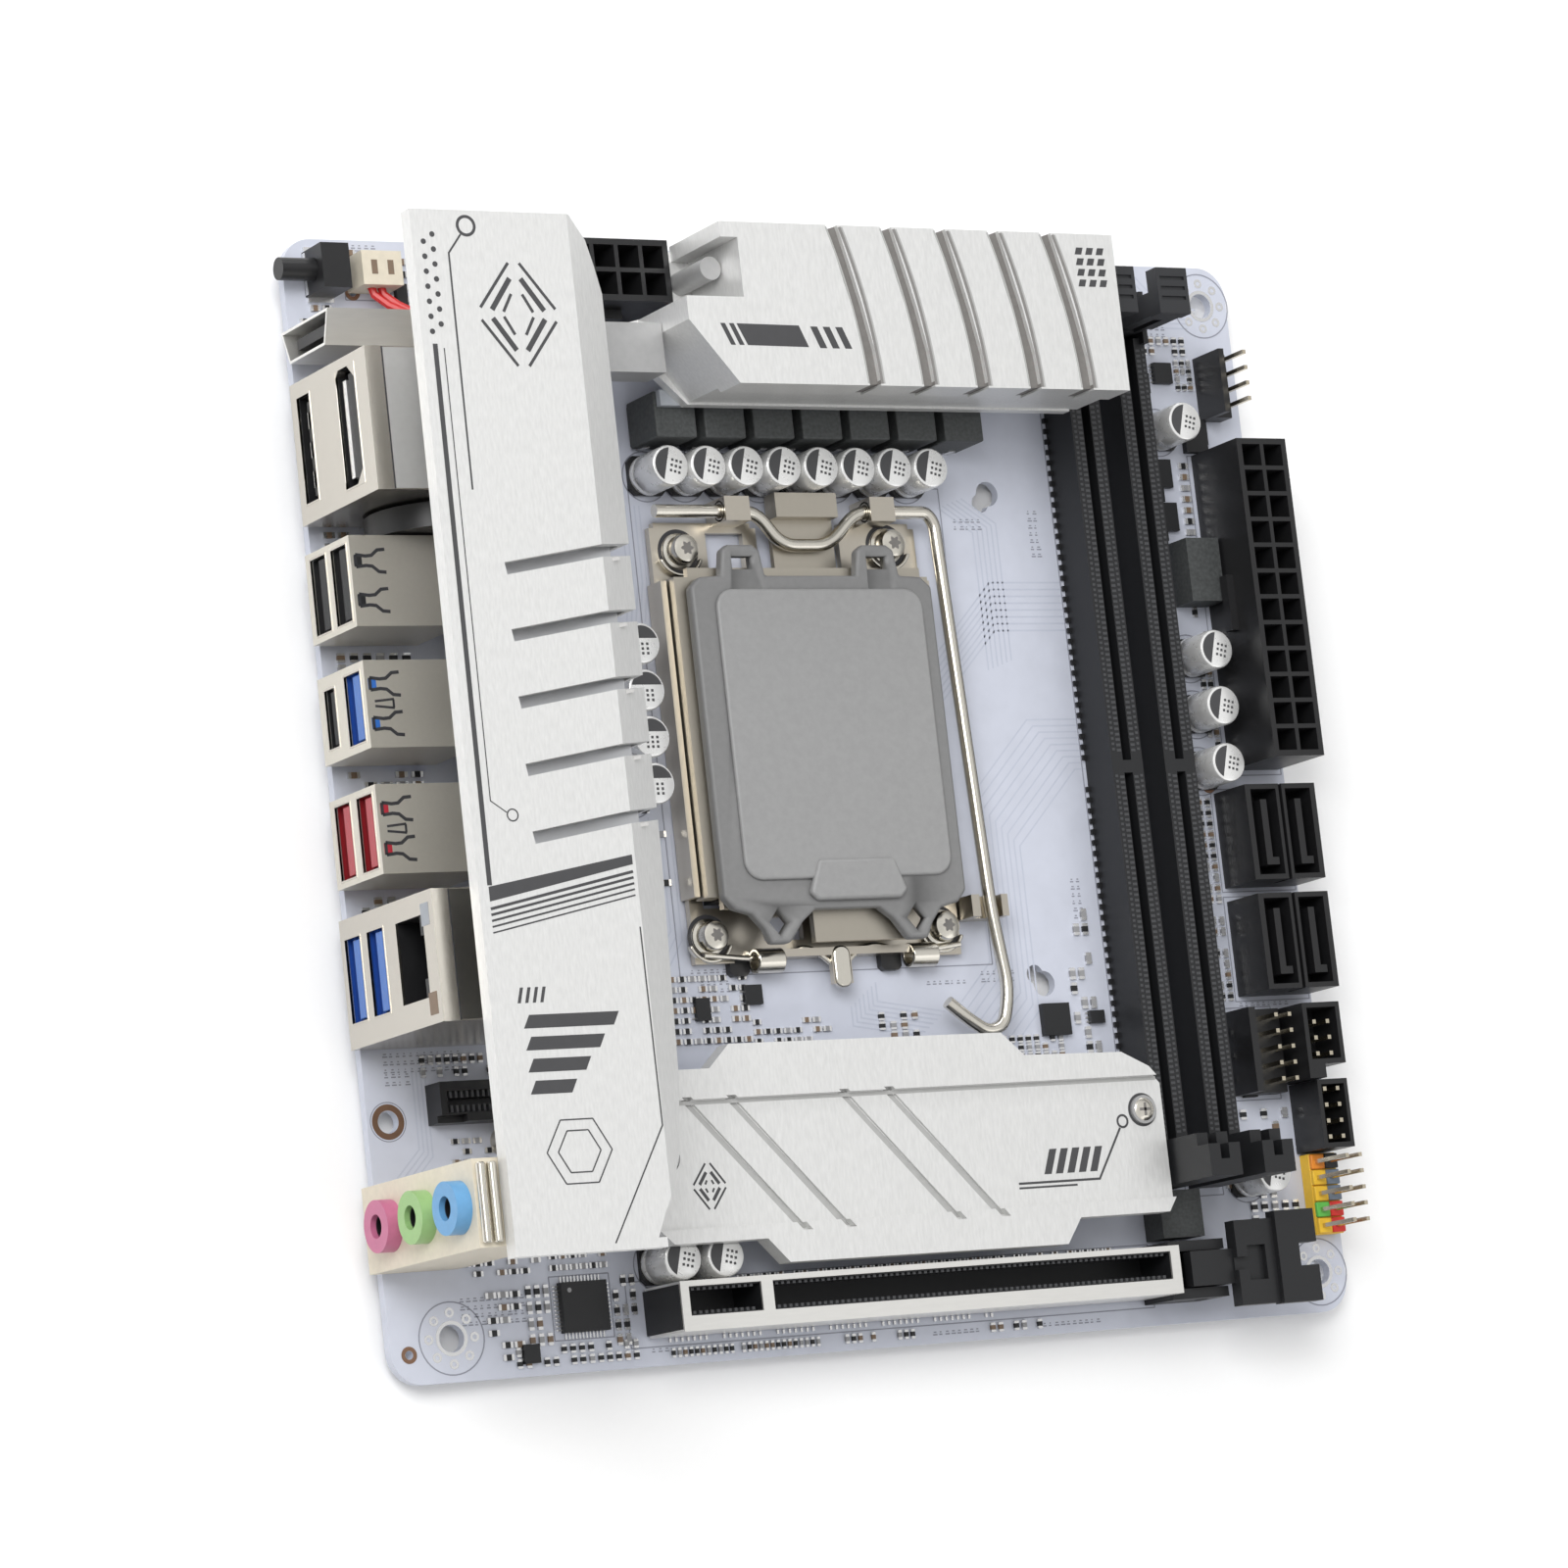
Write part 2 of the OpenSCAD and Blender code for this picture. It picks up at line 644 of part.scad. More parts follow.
module slot_shield() on_board() color([0.86, 0.85, 0.81]) {
    t = 0.4;
    inside = 0.02;
    difference() {
        block([slot_x + 0.3, slot_x + slot_l - 0.3], [slot_y, slot_y + slot_w], [0.6, slot_h]);
        block([slot_x - 1, slot_x + slot_l + 1],
              [slot_y + t - inside, slot_y + slot_w - t + inside], [0, slot_h - t + inside]);
        slot_mouths(4.3, [2, slot_h + 1]);
    }
}

module slot_latch() on_board() color([0.17, 0.17, 0.18]) {
    y = [slot_y + 1, slot_y + 6.4];
    difference() {
        union() {
            block([136.6, 142.4], y, [2.2, 9.6]);
            block([134.2, 138], y, [7.6, 9.6]);
            block([142, 149.6], [slot_y - 2.6, slot_y + 10.6], [8.6, 11]);
            block([149.2, 156.6], [slot_y - 2.8, slot_y + 11.6], [9.6, 12]);
            rod_y(slot_latch_x, [slot_y - 0.6, slot_y + 8], slot_latch_z, 1.1);
        }
        // Finger pocket and the channel that leads to it
        block([144, 147.4], [slot_y + 1.2, slot_y + 6.6], [10, 12]);
        block([141, 144.1], [slot_y + 2.9, slot_y + 4.9], [10, 12]);
        // Notch that forks the tail
        block([153.2, 157], [slot_y + 2.8, slot_y + 6.4], [9, 13]);
    }
}

// ---- Memory slots --------------------------------------------------------------------------------

module memory_slot(x) {
    half = memory_w / 2;
    key_y = 87;
    cheek = 0.9;
    difference() {
        union() {
            block([x - half, x + half], memory_y, [seat_z, memory_h]);
            // Fixed tower at the end that has no latch
            block([x - half, x + half], [memory_y[0], memory_y[0] + 7], [seat_z, tower_h]);
            // Cheeks that carry the latch
            for (side = [-1, 1])
                block([x + side * (half - cheek / 2) - cheek / 2, x + side * (half - cheek / 2) + cheek / 2],
                      [memory_y[1] - 1, latch_end_y], [seat_z, 8.6]);
        }
        // Channel for the module, broken by its key
        block([x - 0.8, x + 0.8], [memory_y[0] + 2.6, key_y - 1], [1.8, tower_h + 1]);
        block([x - 0.8, x + 0.8], [key_y + 1, memory_y[1] + 1], [1.8, tower_h + 1]);
        // Step in the tower's top
        block([x - half - 1, x + half + 1], [memory_y[0] + 5, memory_y[0] + 8], [tower_h - 3, tower_h + 1]);
        rod_x([x - 5, x + 5], latch_y, latch_z, 0.98);
    }
}

module memory_latch(x) {
    half = memory_w / 2;
    difference() {
        union() {
            block([x - half + 1.1, x + half - 1.1], [157, 160.8], [1.5, tower_h]);
            block([x - half, x + half], [156.8, 164.2], [tower_h - 2.8, tower_h]);
            block([x - half, x + half], [157, 160.8], [10.2, tower_h]);
            rod_x([x - half + 0.1, x + half - 0.1], latch_y, latch_z, 0.9);
        }
        // Groove that closes on the module's edge
        block([x - 0.8, x + 0.8], [156, 158.2], [8, tower_h - 5]);
        // Finger grooves in the head
        for (y = [159, 160.6, 162.2])
            block([x - half + 0.6, x + half - 0.6], [y, y + 0.6], [tower_h - 0.4, tower_h + 1]);
    }
}

module memory_slot_a() on_board() color([0.13, 0.13, 0.14]) memory_slot(slot_a_x);
module memory_slot_b() on_board() color([0.13, 0.13, 0.14]) memory_slot(slot_b_x);
module memory_latch_a() on_board() color([0.20, 0.20, 0.21]) memory_latch(slot_a_x);
module memory_latch_b() on_board() color([0.20, 0.20, 0.21]) memory_latch(slot_b_x);

// ---- Power and drive connectors ------------------------------------------------------------------

// A block of square cells, columns along x and rows along y
module power_socket(corner, columns, rows) {
    wall = 0.6;
    difference() {
        block([corner[0], corner[0] + columns * cell_pitch + 2 * wall],
              [corner[1], corner[1] + rows * cell_pitch + 2 * wall], [seat_z, power_h]);
        for (i = [0 : columns - 1], j = [0 : rows - 1]) {
            x = corner[0] + wall + (i + 0.5) * cell_pitch;
            y = corner[1] + wall + (j + 0.5) * cell_pitch;
            block([x - cell_w / 2, x + cell_w / 2], [y - cell_w / 2, y + cell_w / 2], [2, power_h + 1]);
        }
    }
}

module main_power_socket() on_board() color([0.10, 0.10, 0.11]) {
    power_socket(main_power, 2, 12);
    x = main_power[0];
    y = main_power[1];
    block([x - 1.3, x + 0.1], [y + 21.5, y + 30.5], [5.6, 7.4]);
}

module cpu_power_socket() on_board() color([0.10, 0.10, 0.11]) {
    power_socket(cpu_power, 4, 2);
    x = cpu_power[0];
    y = cpu_power[1];
    block([x + 6, x + 12], [y - 1.4, y + 0.1], [5.6, 7.4]);
}

// Two drive ports side by side, each with an L-shaped tongue
module drive_socket(y) {
    middle = (drive_x[0] + drive_x[1]) / 2;
    floor_z = 2.4;
    difference() {
        block(drive_x, y, [seat_z, drive_h]);
        for (x = [[drive_x[0] + 1, middle - 0.9], [middle + 0.9, drive_x[1] - 1]])
            block(x, [y[0] + 0.8, y[1] - 0.8], [floor_z, drive_h + 1]);
        block([middle - 0.3, middle + 0.3], [y[0] - 1, y[1] + 1], [4, drive_h + 1]);
    }
    for (x = [drive_x[0] + 3, middle + 2.9]) {
        block([x, x + 1.2], [y[0] + 2.4, y[1] - 2.4], [floor_z - 0.1, drive_h - 0.5]);
        block([x, x + 2.4], [y[0] + 2.4, y[0] + 3.6], [floor_z - 0.1, drive_h - 0.5]);
    }
}

module drive_socket_upper() on_board() color([0.12, 0.12, 0.13]) drive_socket(drive_upper_y);
module drive_socket_lower() on_board() color([0.12, 0.12, 0.13]) drive_socket(drive_lower_y);

module fan_header() on_board() color([0.12, 0.12, 0.13]) {
    block([162.2, 166.4], [144.5, 154.9], [seat_z, 3.2]);
    block([162.2, 163.2], [144.5, 154.9], [3.2, 7.4]);
}

module header_shrouds() on_board() color([0.12, 0.12, 0.13]) {
    // Front port header: low base, comb and tall rear wall
    block([152.9, 161.2], [34.9, 48.3], [seat_z, 3]);
    block([152.9, 154.2], [34.9, 48.3], [3, 6.6]);
    // Second header, with one end cut short
    difference() {
        union() {
            block([162, 169.2], [38.5, 48.3], [seat_z, 8.4]);
            block([162, 165.2], [36.3, 38.6], [seat_z, 8.4]);
        }
        block([162.8, 168.4], [39.3, 47.5], [2, 9]);
    }
    // Third header
    difference() {
        block([163.6, 169.4], [25.2, 36.1], [seat_z, 7.8]);
        block([164.3, 168.7], [26, 35.3], [2, 9]);
    }
}

module front_panel_header() on_board() color([0.86, 0.64, 0.22]) {
    block([164, 169.2], [12.1, 24.9], [seat_z, 3]);
}

// A row of square pins
module pin_row(x, y, count, z, w = 0.64) {
    for (i = [0 : count - 1])
        block([x - w / 2, x + w / 2], [y + i * pin_pitch - w / 2, y + i * pin_pitch + w / 2], z);
}

module connector_pins() on_board() color([0.83, 0.72, 0.42]) {
    wall = 0.6;
    contact_z = 6;
    for (i = [0, 1], j = [0 : 11])
        pin_row(main_power[0] + wall + (i + 0.5) * cell_pitch, main_power[1] + wall + (j + 0.5) * cell_pitch,
                1, [2 + seat_z, contact_z], 1);
    for (i = [0 : 3], j = [0, 1])
        pin_row(cpu_power[0] + wall + (i + 0.5) * cell_pitch, cpu_power[1] + wall + (j + 0.5) * cell_pitch,
                1, [2 + seat_z, contact_z], 1);
    for (x = [157.4, 160]) pin_row(x, 36.6, 5, [3 + seat_z, 7.6]);
    for (x = [164.3, 166.9]) pin_row(x, 40.2, 3, [2 + seat_z, 8]);
    for (x = [165.2, 167.7]) pin_row(x, 27, 4, [2 + seat_z, 7.4]);
    for (x = [165, 167.54]) pin_row(x, 13.4, 5, [3 + seat_z, 11.4]);
    pin_row(164.6, 145.9, 4, [3.2 + seat_z, 11]);
}

module power_button_housing() on_board() color([0.75, 0.75, 0.76]) {
    difference() {
        block([3.4, 8], [161.2, 168], [seat_z, 6.4]);
        rod_x([0, 5], button_y, button_z, button_r + 0.06);
        rod_x([4.4, 7.2], button_y, button_z, 2.6);
    }
}

module power_button() on_board() color([0.08, 0.08, 0.09]) {
    rod_x([-2.3, 5.6], button_y, button_z, button_r);
    rod_x([4.8, 5.8], button_y, button_z, 2.3);
}

// ---- Rear ports ----------------------------------------------------------------------------------

// A folded metal can, open underneath, with a mouth for each port in its face
module port_can(y, z, depth, ports) {
    t = shell_t;
    face = -port_out;
    difference() {
        block([face, face + depth], y, z);
        block([face + t, face + depth - t], [y[0] + t, y[1] - t], [z[0] - 1, z[1] - t]);
        for (p = ports) block([face - 1, face + 2], [p[0], p[1]], [p[2], p[3]]);
    }
}

// The plastic body inside a can, with a tongue in each mouth
module port_core(y, z, depth, ports, tongue = 1.9) {
    gap = shell_t + 0.03;
    face = -port_out;
    back = face + mouth_depth;
    block([back, face + depth - gap], [y[0] + gap, y[1] - gap], [seat_z, z[1] - gap]);
    for (p = ports) {
        mid = (p[2] + p[3]) / 2 + 0.5;
        block([face + 0.8, back + 0.1], [p[0] + 0.9, p[1] - 0.9], [mid - tongue / 2, mid + tongue / 2]);
    }
}

stacked_y = [125.9, 147];
stacked_z = [2.4, 27.2];
black_y = [108.2, 121.6];
black_z = [2, 16.4];
mixed_y = [90.3, 103.1];
mixed_z = [2, 17];
red_y = [72, 85];
red_z = [2, 16.9];
network_y = [48.7, 67.6];
network_z = [1.2, 30.6];
upright_y = [150.1, 155.2];
upright_z = [1.5, 17];

module sleeve(points, x)
    translate([x[0], 0, 0]) rotate([90, 0, 90]) linear_extrude(x[1] - x[0]) polygon(points);

module upright_video_port() on_board() color([0.80, 0.80, 0.79]) {
    face = -port_out;
    t = shell_t;
    // Standing D-shaped sleeve, closed at the back
    // The side towards the other ports is the shorter one
    taper = 1.9;
    outer = [
        [upright_y[0], upright_z[0] + taper], [upright_y[0], upright_z[1] - taper],
        [upright_y[1], upright_z[1]], [upright_y[1], upright_z[0]]
    ];
    inner = [
        [upright_y[0] + t, upright_z[0] + taper + 0.3], [upright_y[0] + t, upright_z[1] - taper - 0.3],
        [upright_y[1] - t, upright_z[1] - 0.5], [upright_y[1] - t, upright_z[0] + 0.5]
    ];
    difference() {
        sleeve(outer, [face, 13]);
        sleeve(inner, [face - 1, 12.6]);
    }
    for (x = [2, 10]) block([x, x + 2], [upright_y[1] - 0.5, upright_y[1]], [seat_z, 2]);
}

module stacked_video_ports() on_board() color([0.80, 0.80, 0.79]) {
    port_can(stacked_y, stacked_z, 19, stacked_ports);
}

module black_port_stack() on_board() color([0.80, 0.80, 0.79]) {
    port_can(black_y, black_z, 17, black_ports);
}

module mixed_port_stack() on_board() color([0.80, 0.80, 0.79]) {
    port_can(mixed_y, mixed_z, 18, mixed_ports);
}

module red_port_stack() on_board() color([0.80, 0.80, 0.79]) {
    port_can(red_y, red_z, 18, red_ports);
}

module network_port_stack() on_board() color([0.80, 0.80, 0.79]) {
    port_can(network_y, network_z, 22, concat(network_ports, [network_mouth]));
}

module black_port_tongues() on_board() color([0.07, 0.07, 0.08]) {
    port_core(black_y, black_z, 17, black_ports);
    port_core(stacked_y, stacked_z, 19, stacked_ports);
    // Upright port: its tongue and back
    block([9, 12.4], [upright_y[0] + 0.6, upright_y[1] - 0.6], [4.2, 14.2]);
    block([-1, 9.1], [151.9, 153.5], [4.4, 14]);
}

module blue_port_tongues() on_board() color([0.10, 0.38, 0.72]) {
    port_core(mixed_y, mixed_z, 18, mixed_ports, 1.4);
    for (p = network_ports) {
        mid = (p[2] + p[3]) / 2 + 0.5;
        block([-port_out + 0.8, 8.6], [p[0] + 0.9, p[1] - 0.9], [mid - 0.95, mid + 0.95]);
    }
}

module red_port_tongues() on_board() color([0.80, 0.14, 0.12]) {
    port_core(red_y, red_z, 18, red_ports);
}

module network_jack_insert() on_board() color([0.09, 0.09, 0.10]) {
    gap = shell_t + 0.03;
    m = network_mouth;
    difference() {
        union() {
            block([8.6, 22 - port_out - gap], [network_y[0] + gap, network_y[1] - gap], [seat_z, 17.4]);
            block([-port_out + gap, 22 - port_out - gap],
                  [network_y[0] + gap, network_y[1] - gap], [17.4, network_z[1] - gap]);
        }
        block([-5, 12], [m[0], m[1]], [m[2], m[3] - 1.8]);
        block([-5, 12], [m[0] + 2.8, m[1] - 2.8], [m[2], m[3]]);
    }
}

module audio_block() on_board() color([0.87, 0.84, 0.74]) {
    y = audio_block_y;
    difference() {
        block([-port_out, 12.4], y, [seat_z, audio_top]);
        for (z = jack_heights) rod_x([-3, 14], audio_y, z, 2.95);
    }
}

module audio_clip() on_board() color([0.82, 0.82, 0.82]) {
    y = audio_block_y;
    block([-port_out + 0.3, 1.6], [y[0] + 0.6, y[1] - 0.6], [audio_top + 0.02, audio_top + 1.7]);
    block([12.45, 12.9], [y[0] + 0.6, y[1] - 0.6], [3, 6]);
}

module audio_jack(z) {
    difference() {
        union() {
            rod_x([-4.4, -port_out], audio_y, z, 3.8);
            rod_x([-port_out - overlap, 8.6], audio_y, z, 2.9);
        }
        rod_x([-5, 7.6], audio_y, z, jack_hole_r);
    }
}

module audio_jack_pink() on_board() color([0.90, 0.55, 0.66]) audio_jack(jack_heights[0]);
module audio_jack_green() on_board() color([0.55, 0.78, 0.25]) audio_jack(jack_heights[1]);
module audio_jack_blue() on_board() color([0.35, 0.66, 0.85]) audio_jack(jack_heights[2]);

// ---- Clock battery -------------------------------------------------------------------------------

module coin_cell() on_board() color([0.08, 0.08, 0.08]) {
    rod_y(cell_x, cell_y, cell_z, cell_r);
}

module cell_lead() on_board() color([0.75, 0.10, 0.10]) {
    for (side = [-lead_gap, lead_gap]) tube([for (p = lead_route) p + [side, 0, 0]], lead_r);
}

module lead_connector() on_board() color([0.90, 0.87, 0.76]) {
    difference() {
        block([10.4, 17], [162, 167.2], [seat_z, 5.6]);
        for (side = [-lead_gap, lead_gap]) rod_y(13.6 + side, [161, 162.9], 3.1, 0.7);
    }
}

pcb();
socket_backplate();
cpu_socket();
socket_frame();
socket_screws();
lever_catch();
load_lever();
load_plate();
socket_cap();
vrm_heatsink();
vrm_base_plate();
thermal_pads();
vrm_transistors();
vrm_chokes();
vrm_capacitors();
heatsink_screws();
io_cover();
io_heatsink();
heat_bridge();
standoffs();
m2_heatsink();
m2_socket();
wifi_socket();
chips();
inductors();
expansion_slot();
slot_shield();
slot_latch();
memory_slot_a();
memory_slot_b();
memory_latch_a();
memory_latch_b();
main_power_socket();
cpu_power_socket();
drive_socket_upper();
drive_socket_lower();
fan_header();
header_shrouds();
connector_pins();
front_panel_header();
power_button_housing();
power_button();
upright_video_port();
stacked_video_ports();
black_port_stack();
mixed_port_stack();
red_port_stack();
network_port_stack();
black_port_tongues();
blue_port_tongues();
red_port_tongues();
network_jack_insert();
audio_block();
audio_clip();
audio_jack_pink();
audio_jack_green();
audio_jack_blue();
coin_cell();
cell_lead();
lead_connector();
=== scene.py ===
import bpy
import math
import random
from mathutils import Matrix, Vector


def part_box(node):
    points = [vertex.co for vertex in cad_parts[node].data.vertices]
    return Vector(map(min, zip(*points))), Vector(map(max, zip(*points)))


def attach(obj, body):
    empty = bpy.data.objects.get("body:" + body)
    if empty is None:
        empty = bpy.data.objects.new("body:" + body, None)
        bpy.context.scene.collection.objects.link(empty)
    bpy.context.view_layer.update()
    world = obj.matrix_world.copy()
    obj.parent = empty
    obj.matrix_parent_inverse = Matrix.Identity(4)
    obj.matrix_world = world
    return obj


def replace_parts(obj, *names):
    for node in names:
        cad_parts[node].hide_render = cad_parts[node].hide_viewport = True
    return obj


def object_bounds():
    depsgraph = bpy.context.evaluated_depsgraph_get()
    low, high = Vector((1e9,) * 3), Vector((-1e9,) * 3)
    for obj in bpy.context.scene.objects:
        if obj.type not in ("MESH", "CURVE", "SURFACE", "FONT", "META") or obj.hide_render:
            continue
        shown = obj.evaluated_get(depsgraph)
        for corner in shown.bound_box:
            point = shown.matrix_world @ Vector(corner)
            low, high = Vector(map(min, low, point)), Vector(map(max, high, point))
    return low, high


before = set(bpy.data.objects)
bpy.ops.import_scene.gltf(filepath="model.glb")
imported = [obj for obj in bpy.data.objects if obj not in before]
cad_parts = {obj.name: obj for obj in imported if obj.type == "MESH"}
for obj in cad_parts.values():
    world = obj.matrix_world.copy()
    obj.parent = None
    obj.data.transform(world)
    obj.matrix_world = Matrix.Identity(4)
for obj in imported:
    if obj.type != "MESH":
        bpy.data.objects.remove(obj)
cad_low, cad_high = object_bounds()
scene = bpy.context.scene

# Board coordinates are millimetres from the rear edge, the slot edge and the board's top face.
# The row's origin is the middle of the mounting hole beside both edges, on the board's underside.
MM = 0.001
ORIGIN_HOLE = (10.16, 6.35)
BOARD_T = 1.6


def at(x, y, z=0.0):
    """A point in board millimetres as a point of the frame in metres."""
    return Vector(((x - ORIGIN_HOLE[0]) * MM, (y - ORIGIN_HOLE[1]) * MM, (z + BOARD_T) * MM))


def span(node):
    """A CAD node's lowest and highest corners in board millimetres."""
    low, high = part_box(node)
    shift = Vector((ORIGIN_HOLE[0], ORIGIN_HOLE[1], -BOARD_T))
    return low / MM + shift, high / MM + shift


# ---- Camera, light and floor ---------------------------------------------------------------------

# Height of a direction in the sky, from horizon to zenith, and how bright the sky is there
SKY_BANDS = ((0.14, 0.20), (0.24, 0.85), (0.34, 0.95), (0.44, 0.22), (0.60, 0.35), (0.72, 0.78),
             (0.9, 0.95))


def make_camera():
    camera = bpy.data.objects.new("camera", bpy.data.cameras.new("camera"))
    scene.collection.objects.link(camera)
    camera.data.sensor_width = 36
    camera.data.lens = 132.7
    camera.data.clip_end = 10
    right = Vector((0.857139, -0.109072, 0.503405))
    up = Vector((0.018762, 0.983285, 0.181102))
    back = Vector((-0.514744, -0.145788, 0.844858))
    turn = Matrix((right, up, back)).transposed().to_4x4()
    camera.matrix_world = Matrix.Translation(at(-377.4, -41.9, 744.9)) @ turn
    scene.camera = camera


def area_light(name, place, aim, size, watts):
    light = bpy.data.lights.new(name, "AREA")
    light.shape = "RECTANGLE"
    light.size, light.size_y = size
    light.energy = watts
    obj = bpy.data.objects.new(name, light)
    scene.collection.objects.link(obj)
    obj.location = place
    obj.rotation_euler = (aim - Vector(place)).to_track_quat("-Z", "Y").to_euler()


def make_studio():
    world = bpy.data.worlds.new("studio")
    scene.world = world
    world.use_nodes = True
    nodes, links = world.node_tree.nodes, world.node_tree.links
    # The sky is banded by height, as softboxes and gaps between them are, so that metal has contrast
    place = nodes.new("ShaderNodeTexCoord")
    split = nodes.new("ShaderNodeSeparateXYZ")
    bands = nodes.new("ShaderNodeValToRGB")
    links.new(place.outputs["Generated"], split.inputs["Vector"])
    links.new(split.outputs["Z"], bands.inputs["Fac"])
    links.new(bands.outputs["Color"], nodes["Background"].inputs["Color"])
    steps = bands.color_ramp.elements
    steps[0].position, steps[0].color = 0.0, (0.10, 0.10, 0.10, 1)
    steps[1].position, steps[1].color = 1.0, (0.80, 0.80, 0.80, 1)
    for height, level in SKY_BANDS:
        step = steps.new(height)
        step.color = (level, level, level, 1)
    nodes["Background"].inputs["Strength"].default_value = 0.9
    scene.view_settings.view_transform = "Standard"
    middle = Vector((0.075, 0.078, 0.0))
    area_light("key", (-0.45, 0.38, 0.75), middle, (0.5, 0.5), 6.0)
    area_light("fill", (0.55, -0.45, 0.55), middle, (0.6, 0.6), 0.9)
    area_light("strip", (0.1, 0.8, 0.35), middle, (0.9, 0.2), 1.6)
    below = Vector((0, 0, cad_low.z - 0.0002))
    bpy.ops.mesh.primitive_plane_add(size=6, location=middle + below)
    floor = bpy.context.object
    floor.name = "floor"
    floor.data.materials.append(finish("floor_white", (0.96, 0.96, 0.96), 0.9, tone=0.005))


# ---- Materials -----------------------------------------------------------------------------------

def finish(name, colour, rough, metal=0.0, grain=0.0, grain_size=900.0, stretch=(1, 1, 1),
           tone=0.04, coat=0.0, spread=0.05):
    """A surface whose tone and roughness vary a little, with an optional fine grain."""
    material = bpy.data.materials.new(name)
    material.use_nodes = True
    nodes, links = material.node_tree.nodes, material.node_tree.links
    shader = nodes["Principled BSDF"]
    shader.inputs["Metallic"].default_value = metal
    shader.inputs["Coat Weight"].default_value = coat
    place = nodes.new("ShaderNodeTexCoord")
    scale = nodes.new("ShaderNodeMapping")
    scale.inputs["Scale"].default_value = stretch
    links.new(place.outputs["Object"], scale.inputs["Vector"])
    noise = nodes.new("ShaderNodeTexNoise")
    noise.inputs["Scale"].default_value = grain_size
    noise.inputs["Detail"].default_value = 3.0
    links.new(scale.outputs["Vector"], noise.inputs["Vector"])
    ramp = nodes.new("ShaderNodeValToRGB")
    ramp.color_ramp.elements[0].position = 0.3
    ramp.color_ramp.elements[1].position = 0.7
    ramp.color_ramp.elements[0].color = [c * (1 - tone) for c in colour] + [1]
    ramp.color_ramp.elements[1].color = [min(1, c * (1 + tone)) for c in colour] + [1]
    links.new(noise.outputs["Fac"], ramp.inputs["Fac"])
    links.new(ramp.outputs["Color"], shader.inputs["Base Color"])
    change = nodes.new("ShaderNodeMapRange")
    change.inputs["To Min"].default_value = max(0.02, rough - spread)
    change.inputs["To Max"].default_value = min(1.0, rough + spread)
    links.new(noise.outputs["Fac"], change.inputs["Value"])
    links.new(change.outputs["Result"], shader.inputs["Roughness"])
    if grain:
        bump = nodes.new("ShaderNodeBump")
        bump.inputs["Strength"].default_value = grain
        bump.inputs["Distance"].default_value = 0.00004
        links.new(noise.outputs["Fac"], bump.inputs["Height"])
        links.new(bump.outputs["Normal"], shader.inputs["Normal"])
    return material


make_camera()
make_studio()

mask = finish("board_mask", (0.57, 0.595, 0.68), 0.36, grain_size=260, tone=0.03)
trace = finish("board_trace", (0.50, 0.53, 0.62), 0.34, tone=0.02)
silver = finish("silver_paint", (0.73, 0.73, 0.72), 0.40, metal=0.4, grain=0.55, grain_size=2600,
                stretch=(1, 0.22, 1), tone=0.05)
polished = finish("polished_groove", (0.82, 0.81, 0.79), 0.10, metal=1.0, tone=0.01, spread=0.02)
bare = finish("bare_aluminium", (0.66, 0.67, 0.69), 0.3, metal=0.9, grain=0.2, tone=0.02, spread=0.03)
nickel = finish("nickel", (0.56, 0.52, 0.45), 0.30, metal=1.0, tone=0.015, spread=0.02)
bright_nickel = finish("bright_nickel", (0.70, 0.67, 0.60), 0.22, metal=1.0, tone=0.01, spread=0.02)
warm_tin = finish("warm_tin", (0.58, 0.55, 0.495), 0.26, metal=1.0, grain=0.1, grain_size=1500,
                  tone=0.015, spread=0.02)
port_tin = finish("port_tin", (0.66, 0.63, 0.56), 0.36, metal=0.8, grain=0.1, grain_size=1500,
                  tone=0.015, spread=0.02)
shell_steel = finish("shell_steel", (0.80, 0.79, 0.76), 0.30, metal=0.75, grain=0.15, grain_size=1800,
                     stretch=(0.15, 1, 1), tone=0.02, spread=0.03)
# Dark grey painted into groove floors and screw recesses: painted shade in the hollows
recess_shade_grey = finish("recess_shade_grey", (0.20, 0.19, 0.18), 0.45, metal=0.3, tone=0.06)
# Lighter grey painted on heatsink groove rims, groove floors and the storage deck's step: painted shade
light_shade_grey = finish("light_shade_grey", (0.46, 0.46, 0.45), 0.4, metal=0.3)
pipe_grey = finish("pipe_grey", (0.42, 0.42, 0.42), 0.48, metal=0.5)
soft_nickel = finish("soft_nickel", (0.50, 0.465, 0.40), 0.42, metal=1.0, tone=0.015, spread=0.02)
can_grey = finish("can_lid", (0.60, 0.60, 0.59), 0.42, metal=0.7, tone=0.02, spread=0.02)
# A dark metal for the network can's lid: a painted dark reflection on the top of its tin
network_lid_reflection = finish("network_lid_painted_reflection", (0.24, 0.235, 0.22), 0.30, metal=1.0, tone=0.02, spread=0.02)
# Mid grey painted on the front walls of the heatsink's grooves: painted shade
wall_shade_grey = finish("wall_shade_grey", (0.30, 0.29, 0.28), 0.32, metal=0.6, tone=0.05)
pin_metal = finish("pin_metal", (0.62, 0.56, 0.44), 0.25, metal=1.0, tone=0.02, spread=0.03)
steel_black = finish("black_steel", (0.05, 0.05, 0.055), 0.4, metal=0.4)
black = finish("black_plastic", (0.011, 0.011, 0.012), 0.40, tone=0.08)
black_matt = finish("black_matt_plastic", (0.011, 0.0115, 0.013), 0.5, grain=0.25, grain_size=3000,
                    tone=0.1)
dark_grey = finish("dark_grey_plastic", (0.024, 0.025, 0.028), 0.5, grain=0.2, grain_size=3000)
rib_grey = finish("rib_plastic", (0.052, 0.053, 0.057), 0.45)
choke_grey = finish("choke_grey", (0.054, 0.058, 0.058), 0.6, grain=0.9, grain_size=1800, tone=0.25)
